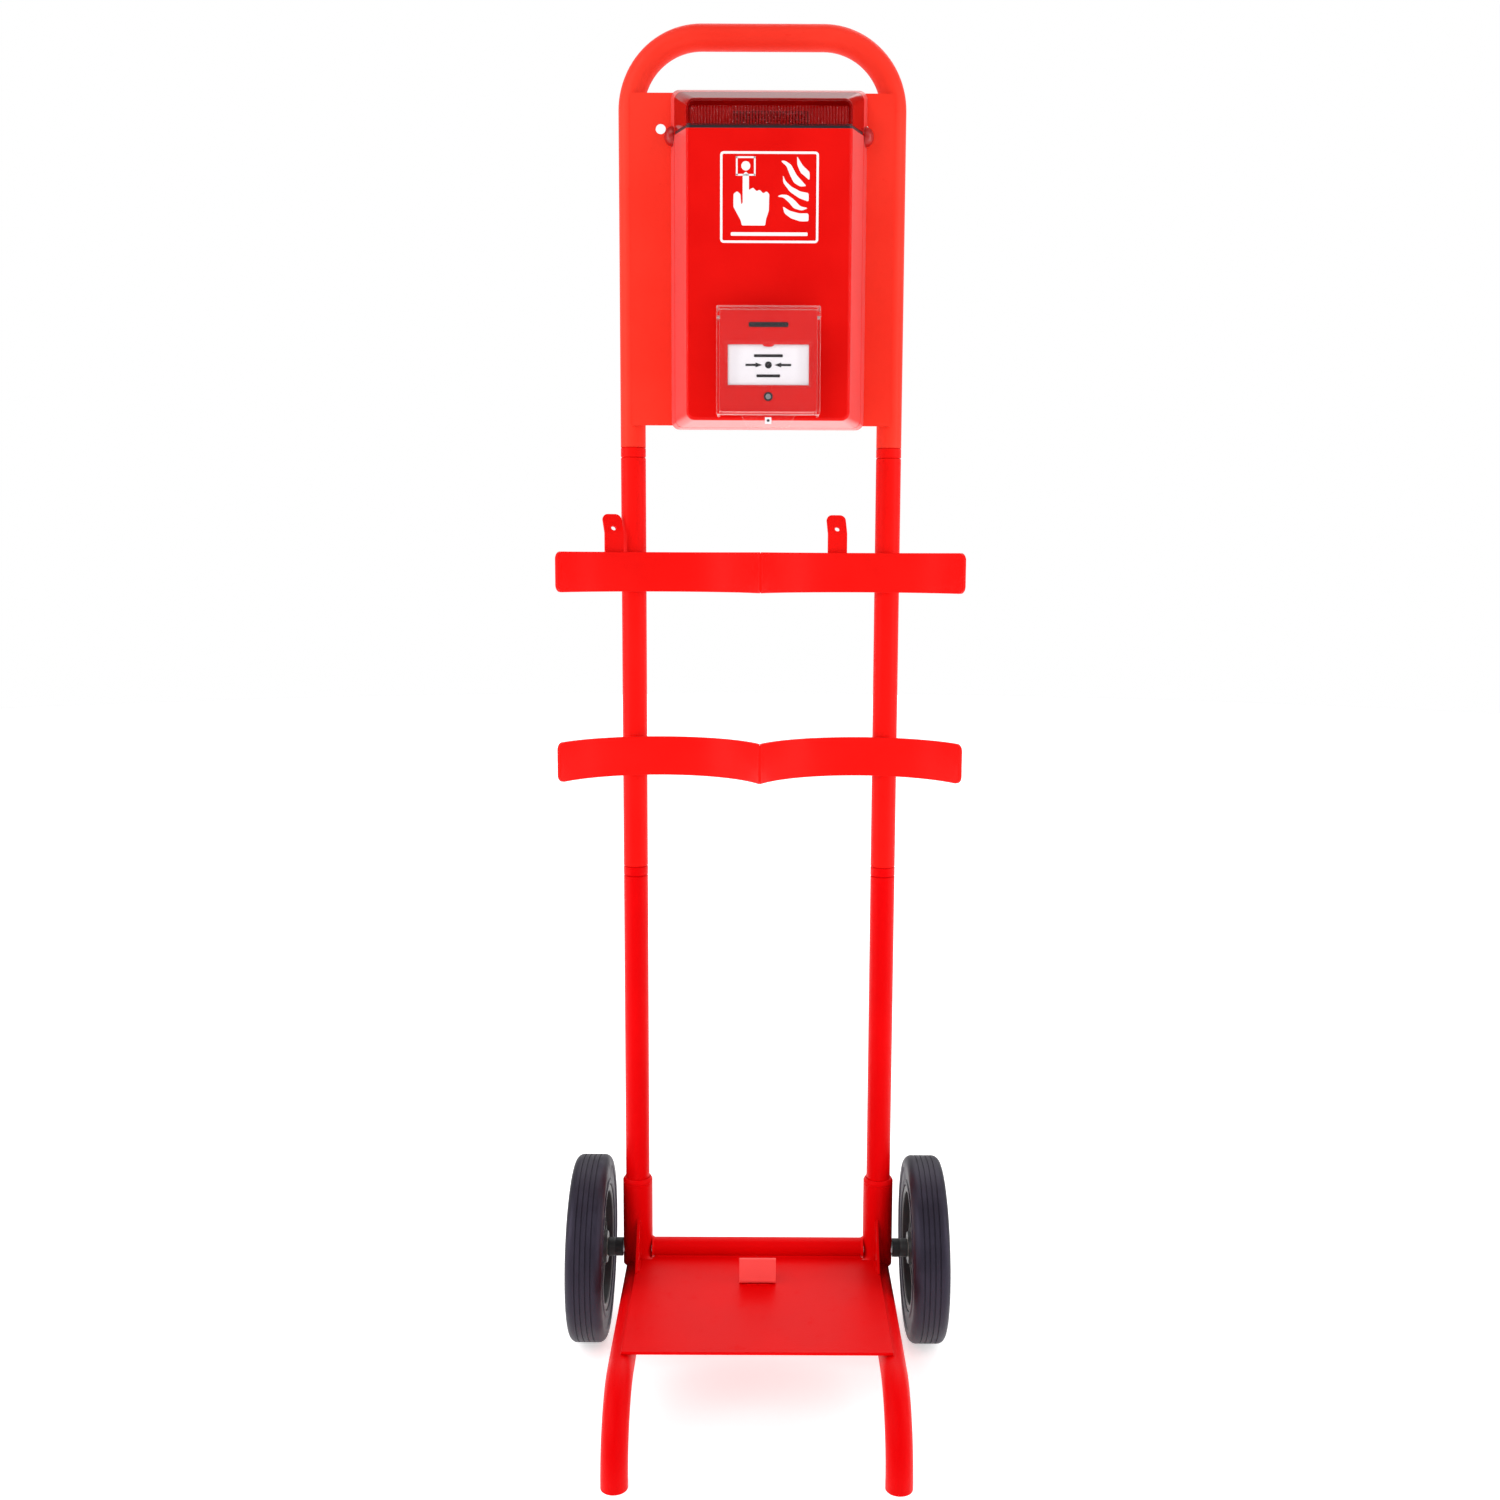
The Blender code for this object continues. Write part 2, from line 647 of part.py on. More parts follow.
def build_axle():
    end = WHEEL_X + HUB_WIDTH / 2 + GAP + WASHER_THICKNESS + GAP + CAP_HEIGHT - CAP_TOP - GAP
    add("axle", rod(AXLE_R, 2 * end), "steel", (-end, UPRIGHT_Y, AXLE_Z), ALONG_X)


def build_wheel(name, side):
    """Tyre, hub and bush turn together on the axle, between a spacer and a washer."""
    axis = add_axis(f"{name}_wheel_axis", (side * WHEEL_X, UPRIGHT_Y, AXLE_Z))
    centre = axis.location
    tyre_r = TYRE_BORE / 2
    half = TYRE_WIDTH / 2
    shoulder = []
    for step in range(CORNER_STEPS + 1):
        angle = math.pi / 2 * step / CORNER_STEPS
        r = WHEEL_R - TYRE_SHOULDER * (1 - math.sin(angle))
        shoulder.append((r, half - TYRE_SHOULDER * (1 - math.cos(angle))))
    profile = [(tyre_r, half)] + shoulder + [(r, -h) for r, h in reversed(shoulder)] + [(tyre_r, -half)]
    add(f"tyre_{name}", turned(profile, WHEEL_SIDES), "rubber", centre, ALONG_X, axis)

    bore = AXLE_R + RUNNING + BUSH_WALL + GAP
    rim = tyre_r - GAP
    wide = HUB_WIDTH / 2
    web = HUB_WEB / 2
    boss = HUB_BOSS / 2
    profile = [
        (bore, -wide),
        (boss, -wide),
        (boss, -web),
        (rim - HUB_RIM, -web),
        (rim - HUB_RIM, -wide),
        (rim, -wide),
        (rim, wide),
        (rim - HUB_RIM, wide),
        (rim - HUB_RIM, web),
        (boss, web),
        (boss, wide),
        (bore, wide),
    ]
    add(f"wheel_hub_{name}", turned(profile, WHEEL_SIDES), "hub_black", centre, ALONG_X, axis)
    bush = sleeve(AXLE_R + RUNNING + BUSH_WALL, AXLE_R + RUNNING, HUB_WIDTH)
    low = centre - Vector((wide, 0, 0))
    add(f"wheel_bush_{name}", bush, "nylon", low, ALONG_X, axis)


def build_axle_fittings(name, side):
    """Spacer inside the wheel, washer and push-on cap outside it."""
    turn = (0, side * math.pi / 2, 0)
    bore = AXLE_R + RUNNING
    socket_side = side * (UPRIGHT_X + SOCKET_R + GAP)
    spacer = sleeve(bore + SPACER_WALL, bore, SPACER_LENGTH)
    add(f"axle_spacer_{name}", spacer, "black_plastic", (socket_side, UPRIGHT_Y, AXLE_Z), turn)
    washer_x = side * (WHEEL_X + HUB_WIDTH / 2 + GAP)
    washer = sleeve(WASHER_OD / 2, bore, WASHER_THICKNESS)
    add(f"axle_washer_{name}", washer, "steel", (washer_x, UPRIGHT_Y, AXLE_Z), turn)
    cap_x = washer_x + side * (WASHER_THICKNESS + GAP)
    inside = CAP_HEIGHT - CAP_TOP
    profile = [
        (0, CAP_HEIGHT),
        (CAP_DIAMETER / 4, CAP_HEIGHT - CAP_TOP / 6),
        (CAP_DIAMETER / 2.4, CAP_HEIGHT - CAP_TOP),
        (CAP_DIAMETER / 2, CAP_HEIGHT / 2),
        (CAP_DIAMETER / 2, 0),
        (bore, 0),
        (bore, inside),
        (0, inside),
    ]
    add(f"hub_cap_{name}", turned(profile), "hub_black", (cap_x, UPRIGHT_Y, AXLE_Z), turn)


def alarm_section(y, inset):
    """The alarm's outline at one depth, drawn in by inset: points in X and Z."""
    share = (ALARM_BACK - y) / ALARM_DEPTH
    width = ALARM_BACK_WIDTH + (ALARM_FRONT_WIDTH - ALARM_BACK_WIDTH) * share - 2 * inset
    low = ALARM_TOP - ALARM_BACK_HEIGHT + ALARM_BOTTOM_SLOPE * share + inset
    high = ALARM_TOP - ALARM_TOP_SLOPE * share - inset
    middle = (low + high) / 2
    corner = max(ALARM_CORNER - inset, ALARM_CORNER / 3)
    outline = rounded_rectangle(width, high - low, corner)
    return [Vector((ALARM_X + p.x, y, middle + p.y)) for p in outline]


def cup(sections):
    """A closed skin through sections that run from the outside's end, over the rim, to the inside's end."""
    shape = bmesh.new()
    rings = [[shape.verts.new(point) for point in section] for section in sections]
    for first, second in zip(rings, rings[1:]):
        bridge(shape, first, second)
    shape.faces.new(rings[0])
    shape.faces.new(rings[-1])
    return finished_mesh(shape)


def alarm_front_shell():
    rim = ALARM_SPLIT - GAP
    inside = ALARM_FRONT + ALARM_WALL
    return cup([
        alarm_section(ALARM_FRONT, ALARM_EDGE),
        alarm_section(ALARM_FRONT + ALARM_EDGE * 0.3, ALARM_EDGE * 0.3),
        alarm_section(ALARM_FRONT + ALARM_EDGE, 0),
        alarm_section(rim, 0),
        alarm_section(rim, ALARM_WALL),
        alarm_section(inside, ALARM_WALL),
    ])


def seam_wedge(above, gap):
    """Everything above, or below, the slanting seam between the lens and the cover."""
    slope = LENS_RISE_TO_BACK / ALARM_DEPTH
    ends = (ALARM_FRONT - ALARM_DEPTH, ALARM_BACK + ALARM_DEPTH)
    seam = [(y, ALARM_TOP - LENS_DROP + gap + slope * (y - ALARM_FRONT)) for y in ends]
    limit = ALARM_TOP + ALARM_DEPTH if above else ALARM_TOP - 2 * ALARM_BACK_HEIGHT
    return prism(seam + [(ends[1], limit), (ends[0], limit)], 2 * ALARM_BACK_WIDTH)


def build_alarm_housing():
    wedge_place = (ALARM_X - ALARM_BACK_WIDTH, 0, 0)
    cover = add("alarm_cover", alarm_front_shell(), "alarm_red")
    combine(cover, seam_wedge(True, -GAP / 2), "DIFFERENCE", wedge_place, SIDEWAYS)
    cable_hole = rod(CALL_WIDTH / 8, 3 * ALARM_WALL)
    hole_place = (ALARM_X, ALARM_FRONT + 2 * ALARM_WALL, WINDOW_Z)
    combine(cover, cable_hole, "DIFFERENCE", hole_place, FACING_FRONT)
    lens = add("beacon_lens", alarm_front_shell(), "lens_red")
    combine(lens, seam_wedge(False, GAP / 2), "DIFFERENCE", wedge_place, SIDEWAYS)

    back_box = add(
        "alarm_back_box",
        cup([
            alarm_section(ALARM_BACK, 0),
            alarm_section(ALARM_SPLIT, 0),
            alarm_section(ALARM_SPLIT, ALARM_WALL),
            alarm_section(BOX_WALL_FRONT, ALARM_WALL),
        ]),
        "alarm_red",
    )
    for place in rivet_places():
        hole = rod(RIVET_SHANK / 2 + GAP, 3 * ALARM_WALL, 12)
        combine(back_box, hole, "DIFFERENCE", (place.x, ALARM_BACK + ALARM_WALL, place.z), FACING_FRONT)
    for place in post_places():
        post = rod(POST_DIAMETER / 2, POST_HEIGHT + ALARM_WALL / 2, 12)
        combine(back_box, post, "UNION", (place.x, BOX_WALL_FRONT + ALARM_WALL / 2, place.z), FACING_FRONT)
    for name, side in SIDES.items():
        build_side_screw(back_box, name, side)
    for number, place in enumerate(rivet_places(), 1):
        build_rivet(f"alarm_rivet_{number}", place)


def post_places():
    """The four posts that the control board sits on."""
    middle = ALARM_TOP - BOARD_DROP - BOARD_HEIGHT / 2
    across = BOARD_WIDTH / 2 - POST_DIAMETER
    up = BOARD_HEIGHT / 2 - POST_DIAMETER
    return [Vector((ALARM_X + sx * across, 0, middle + sz * up)) for sx in (-1, 1) for sz in (-1, 1)]


def build_side_screw(back_box, name, side):
    """A domed screw, square to the back box's tapering side wall."""
    taper = math.atan2((ALARM_BACK_WIDTH - ALARM_FRONT_WIDTH) / 2, ALARM_DEPTH)
    y = ALARM_BACK - ALARM_BACK_BOX_DEPTH / 2
    wall = ALARM_BACK_WIDTH / 2 - math.tan(taper) * ALARM_BACK_BOX_DEPTH / 2
    out = Vector((side * math.cos(taper), -math.sin(taper), 0))
    surface = Vector((ALARM_X + side * wall, y, ALARM_TOP - SIDE_SCREW_DROP))
    turn = (0, math.pi / 2, math.atan2(out.y, out.x))
    head = SIDE_SCREW_HEAD / 2
    dome = []
    for step in range(1, 5):
        angle = math.pi / 2 * step / 4
        dome.append((head * math.sin(angle), GAP + SIDE_SCREW_DOME * math.cos(angle)))
    shank = SIDE_SCREW_SHANK / 2
    profile = [(0, GAP + SIDE_SCREW_DOME)] + dome + [(shank, GAP), (shank, -SIDE_SCREW_LENGTH), (0, -SIDE_SCREW_LENGTH)]
    add(f"cover_screw_{name}", turned(profile, 20), "alarm_red", surface, turn)
    hole = rod(shank + GAP, 4 * ALARM_WALL, 20)
    combine(back_box, hole, "DIFFERENCE", surface - 2 * ALARM_WALL * out, turn)


def build_rivet(name, place):
    """A set rivet through the back plate and the alarm's back wall."""
    shank = RIVET_SHANK / 2
    head = RIVET_HEAD / 2
    grip = PLATE_BACK - BOX_WALL_FRONT + 2 * GAP
    profile = [
        (0, -RIVET_HEAD_HEIGHT),
        (head * 0.7, -RIVET_HEAD_HEIGHT),
        (head, 0),
        (shank, 0),
        (shank, grip),
        (head, grip),
        (head * 0.7, grip + RIVET_HEAD_HEIGHT),
        (0, grip + RIVET_HEAD_HEIGHT),
    ]
    add(name, turned(profile, 12), "steel", (place.x, PLATE_BACK + GAP, place.z), FACING_FRONT)


def build_alarm_insides():
    """Battery, control board, sounder and the beacon's lamp board."""
    board_low = ALARM_TOP - BOARD_DROP - BOARD_HEIGHT
    outline = [
        (-BOARD_WIDTH / 2, 0),
        (BOARD_WIDTH / 2, 0),
        (BOARD_WIDTH / 2, BOARD_HEIGHT),
        (-BOARD_WIDTH / 2, BOARD_HEIGHT),
    ]
    place = (ALARM_X, BOX_WALL_FRONT - POST_HEIGHT - GAP, board_low)
    add("control_board", prism(outline, BOARD_THICKNESS), "board_green", place, FACING_FRONT)

    low = ALARM_TOP - ALARM_BACK_HEIGHT + ALARM_WALL + ALARM_BOTTOM_SLOPE + GAP
    battery = [
        (x, z + BATTERY_HEIGHT / 2) for x, z in rounded_rectangle(BATTERY_WIDTH, BATTERY_HEIGHT, 0.004)
    ]
    back = BOX_WALL_FRONT - RIVET_HEAD_HEIGHT - 3 * GAP
    add("battery_pack", prism(battery, BATTERY_DEPTH), "black_plastic", (ALARM_X, back, low), FACING_FRONT)

    r = SOUNDER_DIAMETER / 2
    profile = [
        (0, 0),
        (r, 0),
        (r, SOUNDER_DEPTH * 0.7),
        (r * 0.85, SOUNDER_DEPTH),
        (r * 0.35, SOUNDER_DEPTH),
        (r * 0.25, SOUNDER_DEPTH * 0.6),
        (0, SOUNDER_DEPTH * 0.6),
    ]
    place = (ALARM_X, BOX_WALL_FRONT - GAP, ALARM_TOP - SOUNDER_DROP)
    add("sounder", turned(profile), "black_plastic", place, FACING_FRONT)

    t = BEACON_THICKNESS
    foot = ALARM_TOP - LENS_DROP + LENS_RISE_TO_BACK
    profile = [
        (0, 0),
        (0, BEACON_FACE),
        (-t, BEACON_FACE),
        (-t, t),
        (-BEACON_REACH + t, t),
        (-BEACON_REACH + t, BEACON_FACE),
        (-BEACON_REACH, BEACON_FACE),
        (-BEACON_REACH, 0),
    ]
    place = (ALARM_X - BEACON_WIDTH / 2, BOX_WALL_FRONT - GAP, foot - BEACON_FACE / 2)
    add("beacon_board", prism(profile, BEACON_WIDTH), "board_green", place, SIDEWAYS)


def window_outline():
    """The call point's window, with a round notch reaching in from the middle of its top edge."""
    half = WINDOW_WIDTH / 2
    rise = WINDOW_HEIGHT / 2
    notch = []
    for step in range(7):
        angle = math.pi * step / 6
        notch.append((WINDOW_NOTCH * math.cos(angle), rise - WINDOW_NOTCH_DEPTH * math.sin(angle)))
    return [(-half, -rise), (half, -rise), (half, rise)] + notch + [(-half, rise)]


def build_call_point():
    """The red body, with a window for the element, a pocket behind it and a bore for the key."""
    outline = [
        (p.x, p.y + CALL_HEIGHT / 2) for p in rounded_rectangle(CALL_WIDTH, CALL_HEIGHT, CALL_CORNER)
    ]
    base = (ALARM_X, CALL_BACK, CALL_Z)
    body = add("call_point_body", prism(outline, CALL_DEPTH), "alarm_red", base, FACING_FRONT)
    pocket_half = WINDOW_WIDTH / 2 + ELEMENT_LAP + SLIDE
    pocket_rise = WINDOW_HEIGHT / 2 + ELEMENT_LAP + SLIDE
    lip_back = CALL_FRONT + WINDOW_LIP + WINDOW_BEVEL / 2
    switch_back = lip_back + ELEMENT_THICKNESS + ELEMENT_TRAVEL + SWITCH_DEPTH + 4 * GAP
    low = (ALARM_X - pocket_half, lip_back, WINDOW_Z - pocket_rise)
    high = (ALARM_X + pocket_half, switch_back, WINDOW_Z + pocket_rise)
    combine(body, block(low, high), "DIFFERENCE", (0, 0, low[2]))
    window_place = (ALARM_X, lip_back + ELEMENT_THICKNESS, WINDOW_Z)
    window = prism(window_outline(), CALL_DEPTH)
    combine(body, window, "DIFFERENCE", window_place, FACING_FRONT)
    combine(body, window_funnel(), "DIFFERENCE", (ALARM_X, CALL_FRONT, WINDOW_Z), FACING_FRONT)
    key_bore = rod(KEY_DIAMETER / 2 + GAP, 2 * KEY_LENGTH)
    key_back = CALL_FRONT + KEY_LENGTH
    key_z = CALL_Z + KEY_RISE
    combine(body, key_bore, "DIFFERENCE", (ALARM_X, key_back + GAP, key_z), FACING_FRONT)
    pin_bore = rod(HINGE_PIN / 2 + GAP, 2 * CALL_WIDTH)
    combine(body, pin_bore, "DIFFERENCE", (ALARM_X - CALL_WIDTH, HINGE_Y, HINGE_Z), ALONG_X)

    element_width = WINDOW_WIDTH + 2 * ELEMENT_LAP
    element_height = WINDOW_HEIGHT + 2 * ELEMENT_LAP
    element = rounded_rectangle(element_width, element_height, ELEMENT_LAP)
    place = (ALARM_X, lip_back + GAP + ELEMENT_THICKNESS, WINDOW_Z)
    add("call_element", prism(element, ELEMENT_THICKNESS), "white_plastic", place, FACING_FRONT)
    low = (-SWITCH_WIDTH / 2, -SWITCH_DEPTH, -SWITCH_HEIGHT / 2)
    high = (SWITCH_WIDTH / 2, 0, SWITCH_HEIGHT / 2)
    place = (ALARM_X, switch_back - GAP, WINDOW_Z - SWITCH_HEIGHT / 2)
    add("microswitch", block(low, high), "black_plastic", place)

    key_place = (ALARM_X, key_back, key_z)
    key = add("reset_key_barrel", rod(KEY_DIAMETER / 2, KEY_LENGTH), "steel", key_place, FACING_FRONT)
    slot_half = KEY_DIAMETER * 0.35
    slot = block((-slot_half, -KEY_SLOT / 2, 0), (slot_half, KEY_SLOT / 2, 4 * KEY_SLOT))
    combine(key, slot, "DIFFERENCE", (ALARM_X, CALL_FRONT + 2 * KEY_SLOT, key_z), FACING_FRONT)
    pin_half = CALL_WIDTH / 2 + COVER_SIDE_GAP + COVER_WALL
    pin = rod(HINGE_PIN / 2, 2 * pin_half, 16)
    add("cover_hinge_pin", pin, "steel", (ALARM_X - pin_half, HINGE_Y, HINGE_Z), ALONG_X)


def window_funnel():
    """The bevel round the window, which widens from the lip to past the front face."""
    shape = bmesh.new()
    depth = WINDOW_BEVEL / 2
    rings = []
    for grow, height in ((0, -depth), (2 * WINDOW_BEVEL, depth)):
        x = WINDOW_WIDTH / 2 + grow
        z = WINDOW_HEIGHT / 2 + grow
        corners = [(-x, -z), (x, -z), (x, z), (-x, z)]
        rings.append([shape.verts.new((*corner, height)) for corner in corners])
    bridge(shape, *rings)
    shape.faces.new(rings[0])
    shape.faces.new(rings[1])
    return finished_mesh(shape)


def build_clear_cover():
    """The lift-up guard: a front plate, side flanges on the pin, short top and bottom lips and a tab."""
    axis = add_axis("cover_hinge_axis", (ALARM_X, HINGE_Y, HINGE_Z))
    middle = (COVER_LOW + COVER_HIGH) / 2
    outline = rounded_rectangle(2 * COVER_HALF, COVER_HIGH - COVER_LOW, COVER_WALL / 2, 2)
    blank = prism(outline, COVER_BACK - COVER_FRONT)
    cover = add(
        "clear_cover", blank, "clear_plastic", (ALARM_X, COVER_BACK, middle), FACING_FRONT, axis
    )
    inner = COVER_HALF - COVER_WALL
    low = (ALARM_X - inner, COVER_INNER, COVER_LOW + COVER_WALL)
    high = (ALARM_X + inner, COVER_BACK + COVER_WALL, COVER_HIGH - COVER_WALL)
    combine(cover, block(low, high), "DIFFERENCE", (0, 0, low[2]))
    lip_back = COVER_INNER + COVER_LIP
    low = (ALARM_X - inner, lip_back, COVER_LOW - COVER_WALL)
    high = (ALARM_X + inner, COVER_BACK + COVER_WALL, COVER_HIGH + COVER_WALL)
    combine(cover, block(low, high), "DIFFERENCE", (0, 0, low[2]))
    tab = [
        (-TAB_PLATE_TOP / 2, COVER_WALL),
        (-TAB_PLATE_TOP / 2, 0),
        (-TAB_PLATE_BOTTOM / 2, -TAB_PLATE_DROP),
        (TAB_PLATE_BOTTOM / 2, -TAB_PLATE_DROP),
        (TAB_PLATE_TOP / 2, 0),
        (TAB_PLATE_TOP / 2, COVER_WALL),
    ]
    inset = COVER_WALL / 10
    tab_place = (ALARM_X, COVER_INNER - inset, COVER_LOW)
    combine(cover, prism(tab, COVER_WALL - 2 * inset), "UNION", tab_place, FACING_FRONT)
    pin_hole = rod(HINGE_PIN / 2 + RUNNING, 4 * COVER_HALF)
    combine(cover, pin_hole, "DIFFERENCE", (ALARM_X - 2 * COVER_HALF, HINGE_Y, HINGE_Z), ALONG_X)
    seal_z = COVER_LOW - TAB_PLATE_DROP / 2
    hole = rod(SEAL_SHANK / 2 + 2 * GAP, 4 * COVER_WALL)
    combine(cover, hole, "DIFFERENCE", (ALARM_X, COVER_INNER + COVER_WALL, seal_z), FACING_FRONT)

    head = SEAL_SIZE / math.sqrt(2)
    front = COVER_WALL + GAP
    profile = [
        (SEAL_BORE / 2, -GAP),
        (SEAL_SHANK / 2, -GAP),
        (SEAL_SHANK / 2, front),
        (head, front),
        (head, front + SEAL_HEAD),
        (SEAL_BORE / 2, front + SEAL_HEAD),
    ]
    seal = turned(profile, 4)
    add("cover_seal", seal, "white_plastic", (ALARM_X, COVER_INNER, seal_z), (math.pi / 2, math.pi / 4, 0), axis)


clear_scene()
FINISH = make_finishes()
build_handle_bow()
build_back_plate()
build_base_plate()
build_cross_tube()
build_axle()
for side_name, direction in SIDES.items():
    build_uprights(side_name, direction)
    build_socket(side_name, direction)
    build_base_rail(side_name, direction)
    build_gusset(side_name, direction)
    build_wheel(side_name, direction)
    build_axle_fittings(side_name, direction)
    build_strap_tab(side_name, direction)
    for level_name, height_above_joint in CRADLE_RISES.items():
        build_cradle(level_name, height_above_joint, side_name, direction)
build_alarm_housing()
build_alarm_insides()
build_call_point()
build_clear_cover()
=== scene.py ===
# %% [markdown]
# # A wheeled fire point stand
#
# A steel trolley that carries two extinguishers in curved cradles and wears a battery alarm unit
# at the top. It is powder-coated tube and sheet, bent, cut and welded, with a moulded alarm box,
# a hinged clear guard and two solid rubber wheels.
#
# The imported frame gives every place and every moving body. This lesson builds the surfaces that
# are seen: smooth tubes where the frame has facets, rolled edges, welds, ribs and finishes.

# %% Load the frame
import math

import bmesh
import bpy
from mathutils import Matrix, Vector


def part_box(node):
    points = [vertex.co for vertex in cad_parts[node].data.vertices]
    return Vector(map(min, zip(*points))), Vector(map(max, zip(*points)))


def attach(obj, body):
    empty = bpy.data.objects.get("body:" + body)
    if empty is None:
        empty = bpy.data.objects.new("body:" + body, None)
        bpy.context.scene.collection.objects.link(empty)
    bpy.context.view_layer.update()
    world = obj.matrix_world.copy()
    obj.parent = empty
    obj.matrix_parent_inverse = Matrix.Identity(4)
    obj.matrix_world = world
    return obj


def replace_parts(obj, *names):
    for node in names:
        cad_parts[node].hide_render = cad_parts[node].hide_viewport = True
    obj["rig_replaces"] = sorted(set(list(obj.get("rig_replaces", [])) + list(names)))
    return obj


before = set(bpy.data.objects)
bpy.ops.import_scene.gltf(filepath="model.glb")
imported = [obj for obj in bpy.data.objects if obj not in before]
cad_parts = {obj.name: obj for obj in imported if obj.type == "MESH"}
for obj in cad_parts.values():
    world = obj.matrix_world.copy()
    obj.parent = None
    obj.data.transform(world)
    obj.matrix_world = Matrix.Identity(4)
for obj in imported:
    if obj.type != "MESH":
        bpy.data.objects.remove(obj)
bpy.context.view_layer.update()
bpy.ops.object.select_all(action="DESELECT")


# %% [markdown]
# ## The studio
#
# The stand is lit as a catalogue piece: a pale floor, a bright backdrop behind it that runs into
# the gloss of the alarm's side walls, and a darker room in front, so that faces square to the
# viewer keep a deep red. The world's brightness follows the direction it comes from. Saturated
# reds go pink under a film-like tone curve, so the plain Standard curve is used.

# %% World and floor
FLOOR_RADIUS = 8.0
BACKDROP = 0.65
ROOM_FRONT = 0.16
DIM_UNTIL = -0.45
BRIGHT_FROM = 0.35


def make_world():
    world = bpy.data.worlds.new("studio")
    bpy.context.scene.world = world
    world.use_nodes = True
    tree = world.node_tree
    background = tree.nodes["Background"]
    background.inputs["Strength"].default_value = 1.0
    place = tree.nodes.new("ShaderNodeTexCoord")
    parts = tree.nodes.new("ShaderNodeSeparateXYZ")
    ramp = tree.nodes.new("ShaderNodeMapRange")
    ramp.interpolation_type = "SMOOTHSTEP"
    limits = {"From Min": DIM_UNTIL, "From Max": BRIGHT_FROM, "To Min": ROOM_FRONT, "To Max": BACKDROP}
    for name, value in limits.items():
        ramp.inputs[name].default_value = value
    seen = tree.nodes.new("ShaderNodeLightPath")
    plain = tree.nodes.new("ShaderNodeMix")
    plain.inputs[3].default_value = 1.0
    tree.links.new(place.outputs["Generated"], parts.inputs[0])
    tree.links.new(parts.outputs["Y"], ramp.inputs["Value"])
    tree.links.new(ramp.outputs[0], plain.inputs[2])
    tree.links.new(seen.outputs["Is Camera Ray"], plain.inputs[0])
    tree.links.new(plain.outputs[0], background.inputs["Color"])
    return world


bpy.context.scene.view_settings.view_transform = "Standard"
bpy.context.scene.view_settings.look = "None"
print("world:", make_world().name)

# %% Lights
SUNS = (
    ("key", (-1.0, -1.25, 1.25), 1.25, 40.0),
    ("fill", (1.1, -1.3, 0.85), 0.80, 50.0),
    ("rear", (0.3, 1.0, 1.4), 0.8, 50.0),
)
STRIPS = (
    ("strip_left", (-1.25, -0.35, 1.0), (0.0, 0.02, 1.0), (0.12, 1.6), 9.0),
    ("strip_right", (1.25, -0.35, 1.0), (0.0, 0.02, 1.0), (0.12, 1.6), 9.0),
)


def hang(name, kind, place, target):
    """A lamp of this kind at place, facing target."""
    lamp = bpy.data.lights.new(name, kind)
    holder = bpy.data.objects.new(name, lamp)
    bpy.context.scene.collection.objects.link(holder)
    holder.location = place
    direction = Vector(target) - Vector(place)
    holder.rotation_euler = direction.to_track_quat("-Z", "Y").to_euler()
    return lamp


for name, place, strength, softness in SUNS:
    sun = hang(name, "SUN", place, (0, 0, 0))
    sun.energy = strength
    sun.angle = math.radians(softness)
for name, place, target, size, power in STRIPS:
    strip = hang(name, "AREA", place, target)
    strip.shape = "RECTANGLE"
    strip.size, strip.size_y = size
    strip.energy = power
print("lights:", [light[0] for light in SUNS + STRIPS])

# %% [markdown]
# ## The camera
#
# The stand is seen from the front, from above its own middle height and about a metre and a half
# away. The upper cradles are at eye level, the lower ones curve below it, and the tray shows its top.

# %% Camera
CAMERA_PLACE = (0.0, -1.4642, 0.8405)
CAMERA_PITCH = math.radians(-7.20)
CAMERA_ROLL = 0.0042
CAMERA_LENS = 36.2
CAMERA_SHIFT = -0.0065

camera_data = bpy.data.cameras.new("camera")
camera_data.lens = CAMERA_LENS
camera_data.sensor_width = 36.0
camera_data.shift_x = CAMERA_SHIFT
camera_data.clip_start = 0.05
camera = bpy.data.objects.new("camera", camera_data)
bpy.context.scene.collection.objects.link(camera)
camera.location = CAMERA_PLACE
turn = Matrix.Rotation(math.pi / 2 + CAMERA_PITCH, 4, "X") @ Matrix.Rotation(CAMERA_ROLL, 4, "Z")
camera.rotation_euler = turn.to_euler()
bpy.context.scene.camera = camera
print("camera at", CAMERA_PLACE)

# %% [markdown]
# ## Arithmetic on shader sockets
#
# A finish is easier to read as a sum than as a web of nodes. This class holds one socket, and
# ordinary + - * on it add Math nodes behind the scenes. Any other node comes from `node`.

